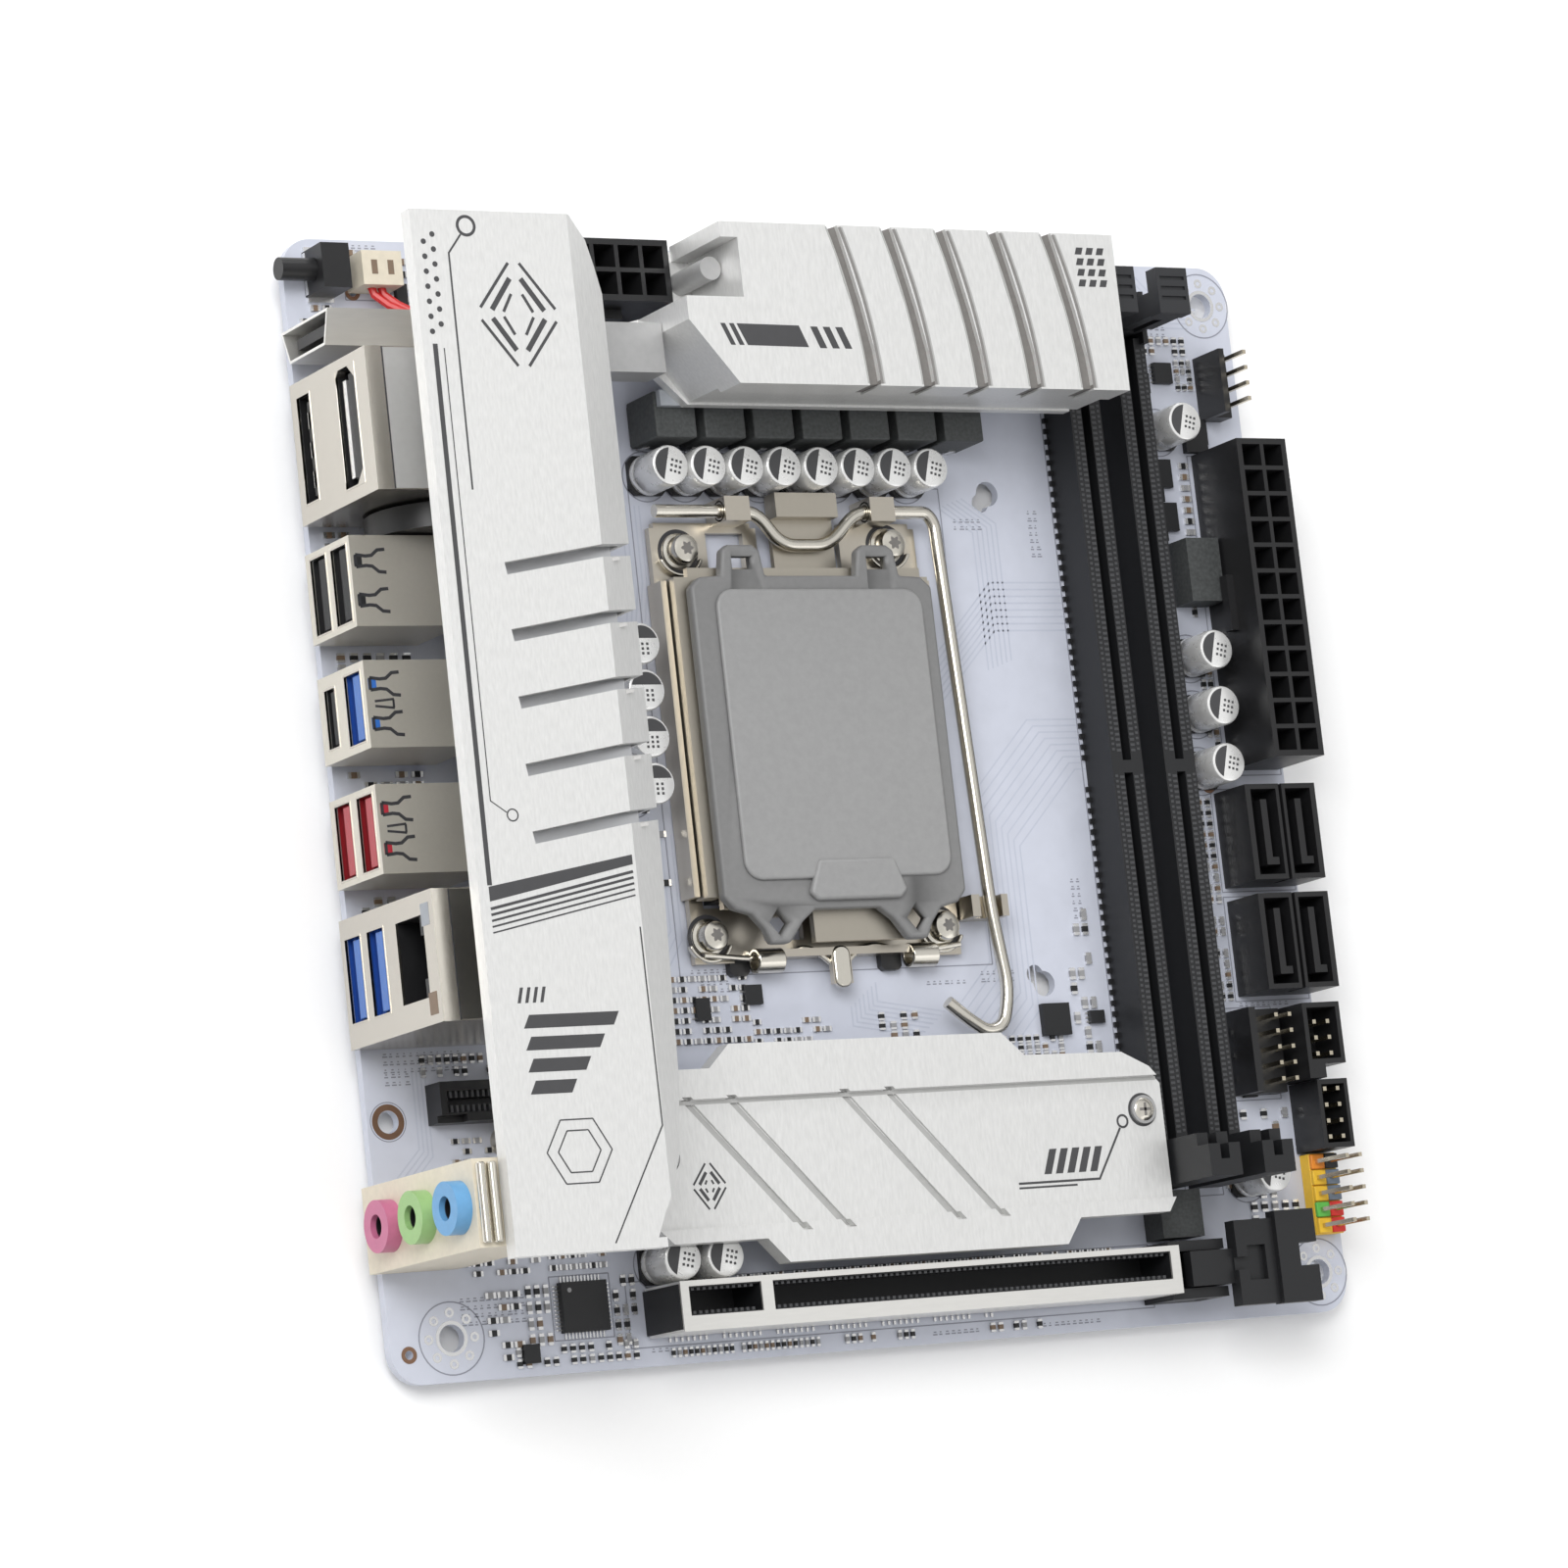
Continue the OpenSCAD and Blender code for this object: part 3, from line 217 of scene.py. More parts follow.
cap_grey = finish("cap_grey", (0.285, 0.285, 0.285), 0.5, grain=0.2)
# A darker grey for the cap's outer body round its panel: painted shade on the cap's edges
cap_rim_shade = finish("cap_rim_painted_shade", (0.20, 0.20, 0.20), 0.5, grain=0.2)
pad_grey = finish("pad_grey", (0.35, 0.37, 0.40), 0.9)
can_white = finish("can_aluminium", (0.84, 0.84, 0.83), 0.28, metal=0.5, tone=0.02, spread=0.03)
ink = finish("dark_print", (0.055, 0.055, 0.058), 0.5)
ink_grey = finish("grey_print", (0.30, 0.30, 0.31), 0.5)
white_print = finish("board_print", (0.27, 0.28, 0.33), 0.6)
tin = finish("tin", (0.74, 0.74, 0.74), 0.25, metal=0.8, tone=0.02, spread=0.03)
gold = finish("gold", (0.80, 0.58, 0.26), 0.22, metal=1.0, tone=0.02, spread=0.03)
copper = finish("copper_ring", (0.24, 0.14, 0.09), 0.4, metal=0.6)
tan = finish("ceramic_tan", (0.20, 0.14, 0.095), 0.5)
yellow = finish("yellow_plastic", (0.85, 0.52, 0.03), 0.4)
header_orange = finish("orange_header", (0.80, 0.26, 0.02), 0.4)
header_slate = finish("slate_header", (0.16, 0.20, 0.26), 0.4)
header_green = finish("green_header", (0.12, 0.50, 0.08), 0.4)
header_red = finish("red_header", (0.70, 0.03, 0.02), 0.4)
blue = finish("blue_plastic", (0.025, 0.13, 0.46), 0.3, coat=0.3)
# A darker copy of the blue plastic for the walls inside the port mouths: painted shade
blue_shade = finish("blue_painted_shade", (0.008, 0.05, 0.26), 0.4)
red = finish("red_plastic", (0.38, 0.015, 0.03), 0.3, coat=0.3)
# A darker copy of the red plastic for the walls inside the port mouths: painted shade
red_shade = finish("red_painted_shade", (0.20, 0.005, 0.010), 0.4)
cream = finish("cream_plastic", (0.68, 0.62, 0.50), 0.4)
pink = finish("pink_plastic", (0.52, 0.15, 0.27), 0.35)
green = finish("green_plastic", (0.30, 0.50, 0.20), 0.35)
sky = finish("sky_plastic", (0.13, 0.34, 0.60), 0.35)
insulation = finish("red_insulation", (0.55, 0.02, 0.02), 0.35)


# ---- Shape building ------------------------------------------------------------------------------

CURVE_STEPS = 6

class Shape:
    """Gathers closed solids in board millimetres and turns them into one piece."""

    def __init__(self):
        self.points = []
        self.faces = []

    def add(self, points, faces):
        start = len(self.points)
        self.points += [tuple(p) for p in points]
        self.faces += [[start + i for i in face] for face in faces]
        return self

    def joined(self, low, high):
        """The solid between two outlines with the same number of points."""
        n = len(low)
        sides = [[i, (i + 1) % n, (i + 1) % n + n, i + n] for i in range(n)]
        return self.add(low + high, [list(range(n))[::-1], list(range(n, 2 * n))] + sides)

    def prism(self, outline, z):
        """An outline of (x, y) points carried from the lower z to the upper."""
        if sum(a[0] * b[1] - b[0] * a[1] for a, b in zip(outline, outline[1:] + outline[:1])) < 0:
            outline = outline[::-1]
        return self.joined([(x, y, z[0]) for x, y in outline], [(x, y, z[1]) for x, y in outline])

    def box(self, x, y, z):
        return self.prism([(x[0], y[0]), (x[1], y[0]), (x[1], y[1]), (x[0], y[1])], z)

    def turned(self, centre, profile, sides=32, axis="z", hollow=False):
        """A profile of (radius, height) points turned about an axis; a hollow one joins its ends."""
        rings = []
        for radius, height in profile:
            for k in range(sides):
                angle = 2 * math.pi * k / sides
                c, s = radius * math.cos(angle), radius * math.sin(angle)
                local = {"z": (c, s, height), "x": (height, c, s), "y": (s, height, c)}[axis]
                rings.append([centre[i] + local[i] for i in range(3)])
        faces = []
        for i in range(len(profile) - (0 if hollow else 1)):
            a, b = i * sides, (i + 1) % len(profile) * sides
            faces += [[a + k, a + (k + 1) % sides, b + (k + 1) % sides, b + k] for k in range(sides)]
        if not hollow:
            faces += [list(range(sides))[::-1], list(range(len(rings) - sides, len(rings)))]
        return self.add(rings, faces)

    def pipe(self, centre, inner, outer, length, sides=28):
        """A short pipe along x."""
        profile = [(inner, 0), (outer, 0), (outer, length), (inner, length)]
        return self.turned(centre, profile, sides, "x", hollow=True)

    def washer(self, centre, inner, outer, z, sides=40, start=0.0, stop=360.0):
        """A flat ring, or part of one between two angles."""
        whole = stop - start >= 360
        steps = sides if whole else max(3, int(sides * (stop - start) / 360))
        count = steps if whole else steps + 1
        points = []
        for k in range(count):
            angle = math.radians(start + (stop - start) * k / steps)
            for radius in (inner, outer):
                x, y = centre[0] + radius * math.cos(angle), centre[1] + radius * math.sin(angle)
                points += [(x, y, z[0]), (x, y, z[1])]
        faces = []
        for k in range(steps):
            a, b = 4 * k, 4 * ((k + 1) % count)
            faces += [[a, b, b + 1, a + 1], [a + 2, a + 3, b + 3, b + 2]]
            faces += [[a + 1, b + 1, b + 3, a + 3], [a, a + 2, b + 2, b]]
        if not whole:
            last = 4 * (count - 1)
            faces += [[0, 1, 3, 2], [last, last + 2, last + 3, last + 1]]
        return self.add(points, faces)

    def line(self, path, width, z):
        """A flat strip of even width along a path of (x, y) points."""
        left, right = [], []
        for i, p in enumerate(path):
            a, b = Vector(path[max(i - 1, 0)]), Vector(path[min(i + 1, len(path) - 1)])
            before = (Vector(p) - a).normalized() if i else (b - Vector(p)).normalized()
            after = (b - Vector(p)).normalized() if i < len(path) - 1 else before
            middle = (before + after).normalized()
            across = Vector((-middle.y, middle.x)) * width / 2 / max(0.4, middle.dot(before))
            left.append(tuple(Vector(p) + across))
            right.append(tuple(Vector(p) - across))
        for i in range(len(path) - 1):
            self.prism([left[i], right[i], right[i + 1], left[i + 1]], z)
        return self

    def strokes(self, path, width, z):
        """A separate strip along each side of a path."""
        for a, b in zip(path, path[1:]):
            self.line([a, b], width, z)

    def make(self, name, material, body="board", bevel=0.0, segments=2):
        mesh = bpy.data.meshes.new(name)
        mesh.from_pydata([at(*p) for p in self.points], [], self.faces)
        mesh.update()
        mesh.materials.append(material)
        mesh.shade_smooth()
        mesh.set_sharp_from_angle(angle=math.radians(35))
        obj = bpy.data.objects.new(name, mesh)
        scene.collection.objects.link(obj)
        if bevel:
            soften(obj, bevel, segments)
        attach(obj, body)
        return obj


def soften(obj, width, segments=2):
    """Rounds the sharp edges of a piece a little."""
    edge = obj.modifiers.new("soft_edge", "BEVEL")
    edge.width = width * MM
    edge.segments = segments
    edge.limit_method = "ANGLE"
    edge.angle_limit = math.radians(40)
    edge.use_clamp_overlap = True
    return obj


def rounded(path, cut):
    """A path with each of its corners replaced by a short curve."""
    path = [Vector(p) for p in path]
    out = [path[0]]
    for a, p, b in zip(path, path[1:], path[2:]):
        reach = min(cut, (p - a).length / 2, (b - p).length / 2)
        start, end = p + (a - p).normalized() * reach, p + (b - p).normalized() * reach
        for k in range(CURVE_STEPS + 1):
            t = k / CURVE_STEPS
            out.append(start * (1 - t) ** 2 + p * 2 * t * (1 - t) + end * t ** 2)
    out.append(path[-1])
    return out


def tube(name, path, radius, material, body="board"):
    """A round wire along a path of (x, y, z) points in board millimetres."""
    curve = bpy.data.curves.new(name, "CURVE")
    curve.dimensions = "3D"
    curve.bevel_depth = radius * MM
    curve.bevel_resolution = 5
    curve.use_fill_caps = True
    spline = curve.splines.new("POLY")
    spline.points.add(len(path) - 1)
    for point, place in zip(spline.points, path):
        point.co = (*at(*place), 1)
    for point in spline.points:
        point.radius = 1
    spline.use_smooth = True
    curve.materials.append(material)
    obj = bpy.data.objects.new(name, curve)
    scene.collection.objects.link(obj)
    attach(obj, body)
    return obj


# ---- Finish of the CAD nodes ---------------------------------------------------------------------

# Each finish, the rounding of edges in millimetres, and the CAD nodes that have them
NODE_FINISH = (
    (mask, 0.12, "pcb"),
    (steel_black, 0.2, "socket_backplate"),
    (black, 0.1, "cpu_socket m2_socket fan_header header_shrouds black_port_tongues network_jack_insert"),
    (nickel, 0.15, "socket_frame"),
    (nickel, 0.2, "lever_catch"),
    (soft_nickel, 0.5, "load_plate"),
    (silver, 0.35, "vrm_heatsink"),
    (silver, 0.3, "vrm_base_plate"),
    (pad_grey, 0.1, "thermal_pads"),
    (black_matt, 0.05, "vrm_transistors"),
    (pipe_grey, 0.15, "heatsink_screws"),
    (silver, 0.25, "io_cover"),
    (bare, 0.1, "io_heatsink"),
    (pipe_grey, 0.6, "heat_bridge"),
    (nickel, 0.1, "standoffs"),
    (silver, 0.15, "m2_heatsink"),
    (black, 0.12, "wifi_socket main_power_socket cpu_power_socket drive_socket_upper drive_socket_lower"),
    (black_matt, 0.08, "chips"),
    (choke_grey, 0.5, "inductors"),
    (black_matt, 0.12, "expansion_slot memory_slot_a memory_slot_b"),
    (shell_steel, 0.12, "slot_shield"),
    (black_matt, 0.5, "slot_latch"),
    (dark_grey, 0.2, "memory_latch_a memory_latch_b"),
    (pin_metal, 0.06, "connector_pins"),
    (black, 0.15, "power_button_housing"),
    (black, 0.25, "power_button"),
    (shell_steel, 0.1, "upright_video_port"),
    (warm_tin, 0.15, "stacked_video_ports network_port_stack"),
    (port_tin, 0.15, "black_port_stack mixed_port_stack red_port_stack"),
    (blue, 0.1, "blue_port_tongues"),
    (red, 0.1, "red_port_tongues"),
    (cream, 0.25, "audio_block"),
    (pink, 0.8, "audio_jack_pink"),
    (green, 0.8, "audio_jack_green"),
    (sky, 0.8, "audio_jack_blue"),
    (black, 0.3, "coin_cell"),
    (insulation, 0.0, "cell_lead"),
    (cream, 0.12, "lead_connector"),
)


def finish_nodes():
    for material, width, names in NODE_FINISH:
        for name in names.split():
            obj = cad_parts[name]
            for place in obj.material_slots:
                place.link = "OBJECT"
                place.material = material
            if width:
                soften(obj, width)


# ---- Circuit board -------------------------------------------------------------------------------

PRINT_Z = (0.0, 0.04)
INK_T = 0.035
HEATSINK_TOP = 27.0
COVER_TOP = 38.0
STORAGE_TOP = 11.0
CORNER_HOLES = (ORIGIN_HOLE, (165.1, 6.35), (165.1, 163.83), (33.02, 163.83))
WIRELESS_HOLE = (3.39, 38.23)
SMALL_HOLES = ((3.03, 4.4), (11.19, 162.17), (155.2, 84.9))


def printed(top):
    """The heights of ink on a face that stands at the given height."""
    return top, top + INK_T


def hole_rings():
    """Tinned rings, printed circles and small pads round the mounting holes, and plated small holes."""
    rings, pads, vias = Shape(), Shape(), Shape()
    for x, y in CORNER_HOLES:
        rings.washer((x, y), 2.05, 2.6, (0.0, 0.05))
        pads.washer((x, y), 5.2, 5.4, PRINT_Z)
        for k in range(8):
            angle = math.pi * k / 4
            cx, cy = x + 3.75 * math.cos(angle), y + 3.75 * math.sin(angle)
            vias.washer((cx, cy), 0.35, 0.75, (0.0, 0.05), sides=16)
    rings.make("hole_rings", tin)
    vias.make("hole_pads", tin)
    pads.make("hole_outlines", white_print)
    Shape().washer(WIRELESS_HOLE, 2.8, 2.95, PRINT_Z).make("slot_end_outline", white_print)
    copper_parts = Shape().washer(WIRELESS_HOLE, 1.7, 2.6, (0.0, 0.06))
    for spot in SMALL_HOLES:
        copper_parts.washer(spot, 0.65, 1.25, (0.0, 0.06), sides=24)
    copper_parts.make("plated_holes", copper)


class PartTray:
    """Small surface parts: a body between two tinned ends."""

    def __init__(self):
        self.bodies = {"tan": Shape(), "black": Shape(), "grey": Shape()}
        self.ends = Shape()

    def part(self, x, y, kind, size, along):
        half, across = size[0] / 2, size[1] / 2
        inner = half - 0.26 * size[0]
        height = 0.45
        tin_height = height * 0.96
        for shape, a, b, top in ((self.bodies[kind], -inner, inner, height),
                                 (self.ends, -half, -inner, tin_height),
                                 (self.ends, inner, half, tin_height)):
            if along == "x":
                shape.box((x + a, x + b), (y - across, y + across), (0, top))
            else:
                shape.box((x - across, x + across), (y + a, y + b), (0, top))

    def field(self, x, y, pitch, along="x", fill=0.75, seed=1):
        """Parts on a grid over x and y ranges, sized to its pitch, with some places left empty."""
        size = (0.8 * pitch[0], 0.52 * pitch[1]) if along == "x" else (0.8 * pitch[1], 0.52 * pitch[0])
        pick = random.Random(seed)
        columns = max(1, round((x[1] - x[0]) / pitch[0]))
        rows = max(1, round((y[1] - y[0]) / pitch[1]))
        for i in range(columns):
            for j in range(rows):
                px = x[0] + (i + 0.5) * (x[1] - x[0]) / columns
                py = y[0] + (j + 0.5) * (y[1] - y[0]) / rows
                kind = pick.choice(("tan", "black", "black", "grey"))
                keep = pick.random() < fill
                if keep:
                    self.part(px, py, kind, size, along)

    def chip(self, x, y, size, height=0.9, legs=0):
        """A small package with legs on two sides."""
        w, d = size
        self.bodies["black"].box((x - w / 2, x + w / 2), (y - d / 2, y + d / 2), (0.05, height))
        for k in range(legs):
            py = y - d / 2 + d * (k + 0.5) / legs
            self.ends.box((x - w / 2 - 0.5, x + w / 2 + 0.5), (py - 0.12, py + 0.12), (0, 0.22))

    def make(self):
        colours = {"tan": tan, "black": black_matt, "grey": ink_grey}
        for kind, shape in self.bodies.items():
            shape.make("small_parts_" + kind, colours[kind])
        self.ends.make("small_part_ends", tin)


# Fields of small parts: x range, y range, spacing along x and y, which way they lie, share of places filled
PART_FIELDS = (
    # Corner by the audio sockets
    ((12.5, 26), (14.6, 20.5), (2.0, 1.5), "x", 0.6),
    ((22.5, 26.9), (1.6, 13.4), (1.5, 2.3), "y", 0.85),
    ((37, 41.4), (3.2, 14), (1.5, 2.1), "y", 0.85),
    ((27, 37), (14.6, 18), (1.7, 1.6), "x", 0.8),
    ((20, 41), (1.0, 4.4), (1.5, 1.7), "y", 0.75),
    ((16, 22), (2, 13), (2.2, 1.7), "x", 0.65),
    ((26, 37), (19, 29), (2.0, 1.8), "x", 0.6),
    ((11, 22), (31, 35.6), (1.8, 1.5), "x", 0.5),
    # Along the expansion slot's edge
    ((46, 72), (0.8, 2.6), (1.0, 1.8), "y", 0.9),
    ((76, 90), (0.8, 2.6), (1.2, 1.8), "y", 0.7),
    ((102, 112), (0.8, 2.6), (1.5, 1.8), "y", 0.5),
    ((57, 126), (11.9, 12.7), (1.4, 0.8), "x", 0.85),
    # By the wireless socket
    ((9, 31), (44.2, 47.8), (1.4, 1.8), "y", 0.8),
    # Between the storage heatsink and the processor socket
    ((38, 52), (46.4, 57), (1.8, 1.9), "y", 0.65),
    ((52, 66), (47, 58), (1.8, 1.6), "x", 0.7),
    ((66, 80), (46.6, 51), (1.8, 1.5), "x", 0.45),
    ((50, 55), (58, 84), (2.2, 1.8), "x", 0.4),
    ((88, 96), (46.6, 51), (1.8, 1.6), "y", 0.6),
    ((104, 122), (42.4, 46.4), (1.5, 1.5), "y", 0.8),
    ((124, 129), (42.8, 66), (1.9, 2.3), "y", 0.5),
    # Beside the memory slots
    ((148.4, 151.2), (46, 84), (1.4, 1.9), "x", 0.85),
    ((152, 155.2), (50, 83), (1.6, 1.7), "y", 0.7),
    ((148.4, 151.6), (86, 123), (1.6, 1.7), "x", 0.8),
    ((148.4, 152), (130, 149), (1.8, 1.7), "y", 0.8),
    ((149, 161), (155.2, 158.6), (1.6, 1.7), "y", 0.85),
    ((149, 153), (150, 154.6), (1.6, 1.6), "x", 0.85),
    ((158, 161.6), (149.4, 154.8), (1.4, 1.4), "y", 0.85),
    ((156.4, 158.8), (118, 138), (2.2, 1.8), "x", 0.85),
    ((149, 152.6), (20, 46), (1.8, 1.8), "x", 0.75),
    ((153, 163), (12, 33), (2.0, 2.0), "y", 0.6),
    ((155.8, 158.6), (84.6, 114), (1.5, 2.0), "y", 0.55),
    # Round the power stage
    ((60, 66), (157.4, 161), (1.6, 1.8), "y", 0.8),
    ((36, 40), (146, 162), (1.8, 1.8), "x", 0.5),
    ((131.6, 134), (163.4, 167), (1.4, 1.6), "y", 0.8),
    ((1.8, 9.4), (156.4, 160.6), (1.9, 1.7), "x", 0.6),
    ((9.6, 12), (164, 169), (1.6, 1.8), "x", 0.5),
    # Between the ports: small parts as on real boards, placed also to darken the gaps, which stands in for
    # the shade between the ports
    ((2, 15), (68.2, 71.2), (2.3, 1.7), "y", 0.8),
    ((2, 15), (87, 90), (2.4, 1.7), "x", 0.8),
    ((2, 15), (104.2, 107.6), (2.3, 1.7), "y", 0.8),
    ((2, 9), (122.6, 126), (2.3, 1.7), "x", 0.7),
    ((17.4, 20.6), (156.4, 168), (1.8, 1.8), "x", 0.7),
)


# Small packages: x, y, size and how many legs on each of two sides
CHIPS = (
    (128.2, 48.6, (2.6, 2.0), 3), (57.5, 52.5, (2.4, 3.4), 4), (66.5, 54.4, (3, 3), 5),
    (30, 24, (3.0, 3.6), 4), (151.2, 161.4, (3, 2.4), 3), (155.6, 35.6, (2.4, 2), 3),
    (22.6, 3.2, (2.6, 2.8), 2), (19, 161.8, (1.8, 3.2), 2), (155.5, 152.3, (3.4, 3.4), 5),
    (152.6, 135.7, (4.4, 4.6), 2), (152.8, 128.6, (4.4, 4.6), 2), (160.6, 142.6, (4.2, 4.2), 3),
)


def surface_parts():
    tray = PartTray()
    for seed, (x, y, pitch, along, fill) in enumerate(PART_FIELDS):
        tray.field(x, y, pitch, along, fill, seed)
    for x, y, size, legs in CHIPS:
        tray.chip(x, y, size, 1.0, legs)
    tray.make()


# Printed rectangles on the board: x range and y range
OUTLINES = (
    ((54.6, 110.4), (57.6, 133)), ((131.4, 138.6), (19.6, 165)), ((141.4, 148.6), (19.6, 165)),
    ((39.6, 133), (2.8, 12.6)), ((44.4, 46.6), (58, 80)), ((158.8, 169.7), (86.4, 138.8)),
    ((155.4, 169.8), (67.6, 84.2)), ((155.4, 169.8), (50, 66.8)), ((27, 37), (4.8, 14.2)),
    ((152.2, 161.9), (34.2, 49)), ((10, 17.6), (161, 168.6)), ((148.6, 152.4), (86, 123)),
)


def board_lines():
    """Printed outlines on the board."""
    lines = Shape()
    for x, y in OUTLINES:
        corners = [(x[0], y[0]), (x[1], y[0]), (x[1], y[1]), (x[0], y[1]), (x[0], y[0])]
        lines.strokes(corners, 0.18, PRINT_Z)
    for spot in CAPACITORS:
        lines.washer(spot, 3.8, 4.0, PRINT_Z)
    lines.make("board_outlines", white_print)


# Bundles of traces: points of the first trace, the step to the next, and how many
TRACE_BUNDLES = (
    (((104, 52), (110, 58), (110, 84), (122, 96), (131.6, 96)), (1.0, -1.0), 9),
    (((106, 106), (118, 118), (131.6, 118)), (0.0, -1.1), 8),
    (((34.6, 60), (48, 60), (52, 66), (52, 82)), (0.9, -0.7), 5),
    (((52, 112), (53, 118), (53, 130)), (0.8, 0.0), 5),
    (((84, 52), (84, 49), (96, 47)), (0.8, 0.6), 7),
    (((110, 130), (116, 126), (116, 104)), (0.9, 0.3), 6),
    (((4, 30), (8, 34), (8, 46)), (0.7, -0.4), 4),
    (((12.6, 24), (20, 28), (34, 28.6)), (0.2, -0.8), 5),
    (((133, 15), (150, 8), (164, 8.6)), (0.4, -0.8), 4),
    (((150, 166), (156, 160), (162, 160)), (0.5, 0.8), 5),
)

# Blocks of small dashes that stand where a board carries fine print: x, y, rows, columns
DASH_BLOCKS = (
    (12, 11.4, 4, 10), (3.5, 47.6, 3, 12), (3.5, 44.6, 2, 4), (56.5, 58, 1, 7), (108, 56, 2, 6),
    (112.6, 127.6, 2, 5), (126.6, 129, 7, 2), (126.6, 70, 6, 2), (149, 159.6, 2, 8), (156, 49.2, 1, 9),
    (152.6, 143.8, 1, 4), (43, 2.0, 1, 3), (92, 1.2, 1, 8), (112, 1.2, 1, 10), (10.6, 168.9, 1, 5),
    (22.4, 166.4, 2, 5), (58, 56.2, 2, 5), (98, 54.8, 1, 7), (149, 34.4, 2, 3), (36.6, 64, 5, 1),
)


def board_tracks():
    """Faint raised traces under the mask, and dashes in place of fine print."""
    tracks, dashes = Shape(), Shape()
    for points, step, count in TRACE_BUNDLES:
        for k in range(count):
            tracks.line([(x + step[0] * k, y + step[1] * k) for x, y in points], 0.26, (0.0, 0.015))
    tracks.make("board_tracks", trace)
    pick = random.Random(5)
    for x, y, rows, columns in DASH_BLOCKS:
        for row in range(rows):
            for column in range(columns):
                left, low = x + 1.1 * column, y - 1.15 * row
                long = pick.uniform(0.35, 0.85)
                dashes.box((left, left + long), (low, low + 0.2), PRINT_Z)
                dashes.box((left + 0.15, left + long * 0.8), (low + 0.4, low + 0.58), PRINT_Z)
    dashes.make("board_dashes", white_print)


def legged_chip():
    """Legs of the square sound chip, on its four sides."""
    legs = Shape()
    low, high = Vector((28.2, 5.8)), Vector((35.8, 13.2))
    for k in range(12):
        x = low.x + 0.6 + k * 0.58
        y = low.y + 0.5 + k * 0.58
        legs.box((x - 0.11, x + 0.11), (low.y - 0.9, high.y + 0.9), (0.0, 0.25))
        legs.box((low.x - 0.9, high.x + 0.9), (y - 0.11, y + 0.11), (0.0, 0.25))
    legs.make("chip_legs", tin)
    Shape().washer((29.5, 12), 0.0, 0.35, (1.4, 1.43), sides=16).make("chip_dot", ink_grey)


# ---- Processor socket ----------------------------------------------------------------------------

SOCKET_SCREWS = ((61.3, 122.5), (98.5, 123.4), (59.2, 63.2), (100.4, 63.4))
LEVER_Y = 128.2
LEVER_Z = 4.4
LEVER_R = 1.03


def star_screw(shape, recess, centre, radius, z):
    """A domed screw head with a flange, and its star recess."""
    x, y = centre
    shape.turned((x, y, 0), [(radius * 1.22, z[0]), (radius * 1.22, z[0] + 0.45), (radius, z[0] + 0.6),
                             (radius, z[1] - 0.7), (radius * 0.9, z[1] - 0.25),
                             (radius * 0.6, z[1])], 40)
    points = []
    for k in range(24):
        angle = 2 * math.pi * k / 24
        reach = radius * (0.40 + 0.10 * math.cos(6 * angle))
        points.append((x + reach * math.cos(angle), y + reach * math.sin(angle)))
    recess.prism(points, (z[1] - 0.3, z[1] + 0.015))


def socket_hardware():
    heads, recesses, shadow_rings, rims = Shape(), Shape(), Shape(), Shape()
    for spot in SOCKET_SCREWS:
        star_screw(heads, recesses, spot, 2.3, (1.5, 4.5))
        heads.turned((spot[0], spot[1], 0), [(1.4, -3.3), (1.4, 1.5)], 24)
        # A dark ring round each head: painted shadow in the frame's hole round the screw
        shadow_rings.washer(spot, 2.85, 3.5, (1.5, 1.54))
        rims.washer(spot, 3.5, 4.0, (1.4, 2.5), start=200, stop=340)
    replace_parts(heads.make("socket_screw_heads", bright_nickel), "socket_screws")
    # The dark star on each head is painted shade in its recess
    recesses.make("socket_screw_stars", recess_shade_grey)
    shadow_rings.make("socket_screw_shadow_rings", steel_black)
    rims.make("socket_screw_rims", bright_nickel, bevel=0.15)


def socket_front_rail():
    """The wavy rail along the socket's front, and the rolled clips that hold the load plate's lip."""
    z = 2.5
    left = [(57.6, 60.4), (65.8, 59.6), (71.6, 59.8), (75.2, 61.2), (77.6, 60.2), (79.8, 58.4)]
    right = [(82.4, 58.4), (84.6, 60.2), (87.4, 61.2), (92.4, 60.0), (98, 60.0), (103.2, 60.6)]
    for side, path in (("left", left), ("right", right)):
        tube("front_rail_" + side, rounded([(x, y, z) for x, y in path], 2.0), 0.45, bright_nickel)
    clips = Shape()
    for x in (66.2, 93.6):
        clips.pipe((x, 59.2, 2.6), 1.35, 1.9, 4.6)
    clips.make("front_rail_clips", bright_nickel, bevel=0.12)
    tongue = Shape().prism(round_corner_box((79.6, 82.6), (54.6, 61), 1.3), (2.6, 3.7))
    tongue.make("front_tongue", bright_nickel, bevel=0.3)
    corners = Shape()
    for x in ((62.6, 66), (89.4, 93)):
        corners.prism(corner_cut(x, (57.2, 60.4), 0.6), (0.05, 1.4))
    corners.make("front_insulators", black)


def socket_rear_ears():
    """Rounded ears of the frame that reach round the lever."""
    ears = Shape()
    for x in (67.6, 93.6):
        ears.pipe((x, LEVER_Y, LEVER_Z), 1.25, 1.75, 4.4)
    ears.make("lever_ears", bright_nickel, bevel=0.12)


def lever():
    path = [(56.2, LEVER_Y), (74, LEVER_Y), (78, 122.9), (86.5, 122.9), (92, LEVER_Y), (104.9, LEVER_Y),
            (106.1, 126.4), (108.4, 66), (109.9, 53), (108.4, 47.6), (105.4, 46.6), (102.2, 48.6),
            (98.6, 51.5)]
    route = rounded([(x, y, LEVER_Z) for x, y in path], 2.6)
    wire = tube("lever_wire", route, LEVER_R, bright_nickel, "lever")
    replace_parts(wire, "load_lever")


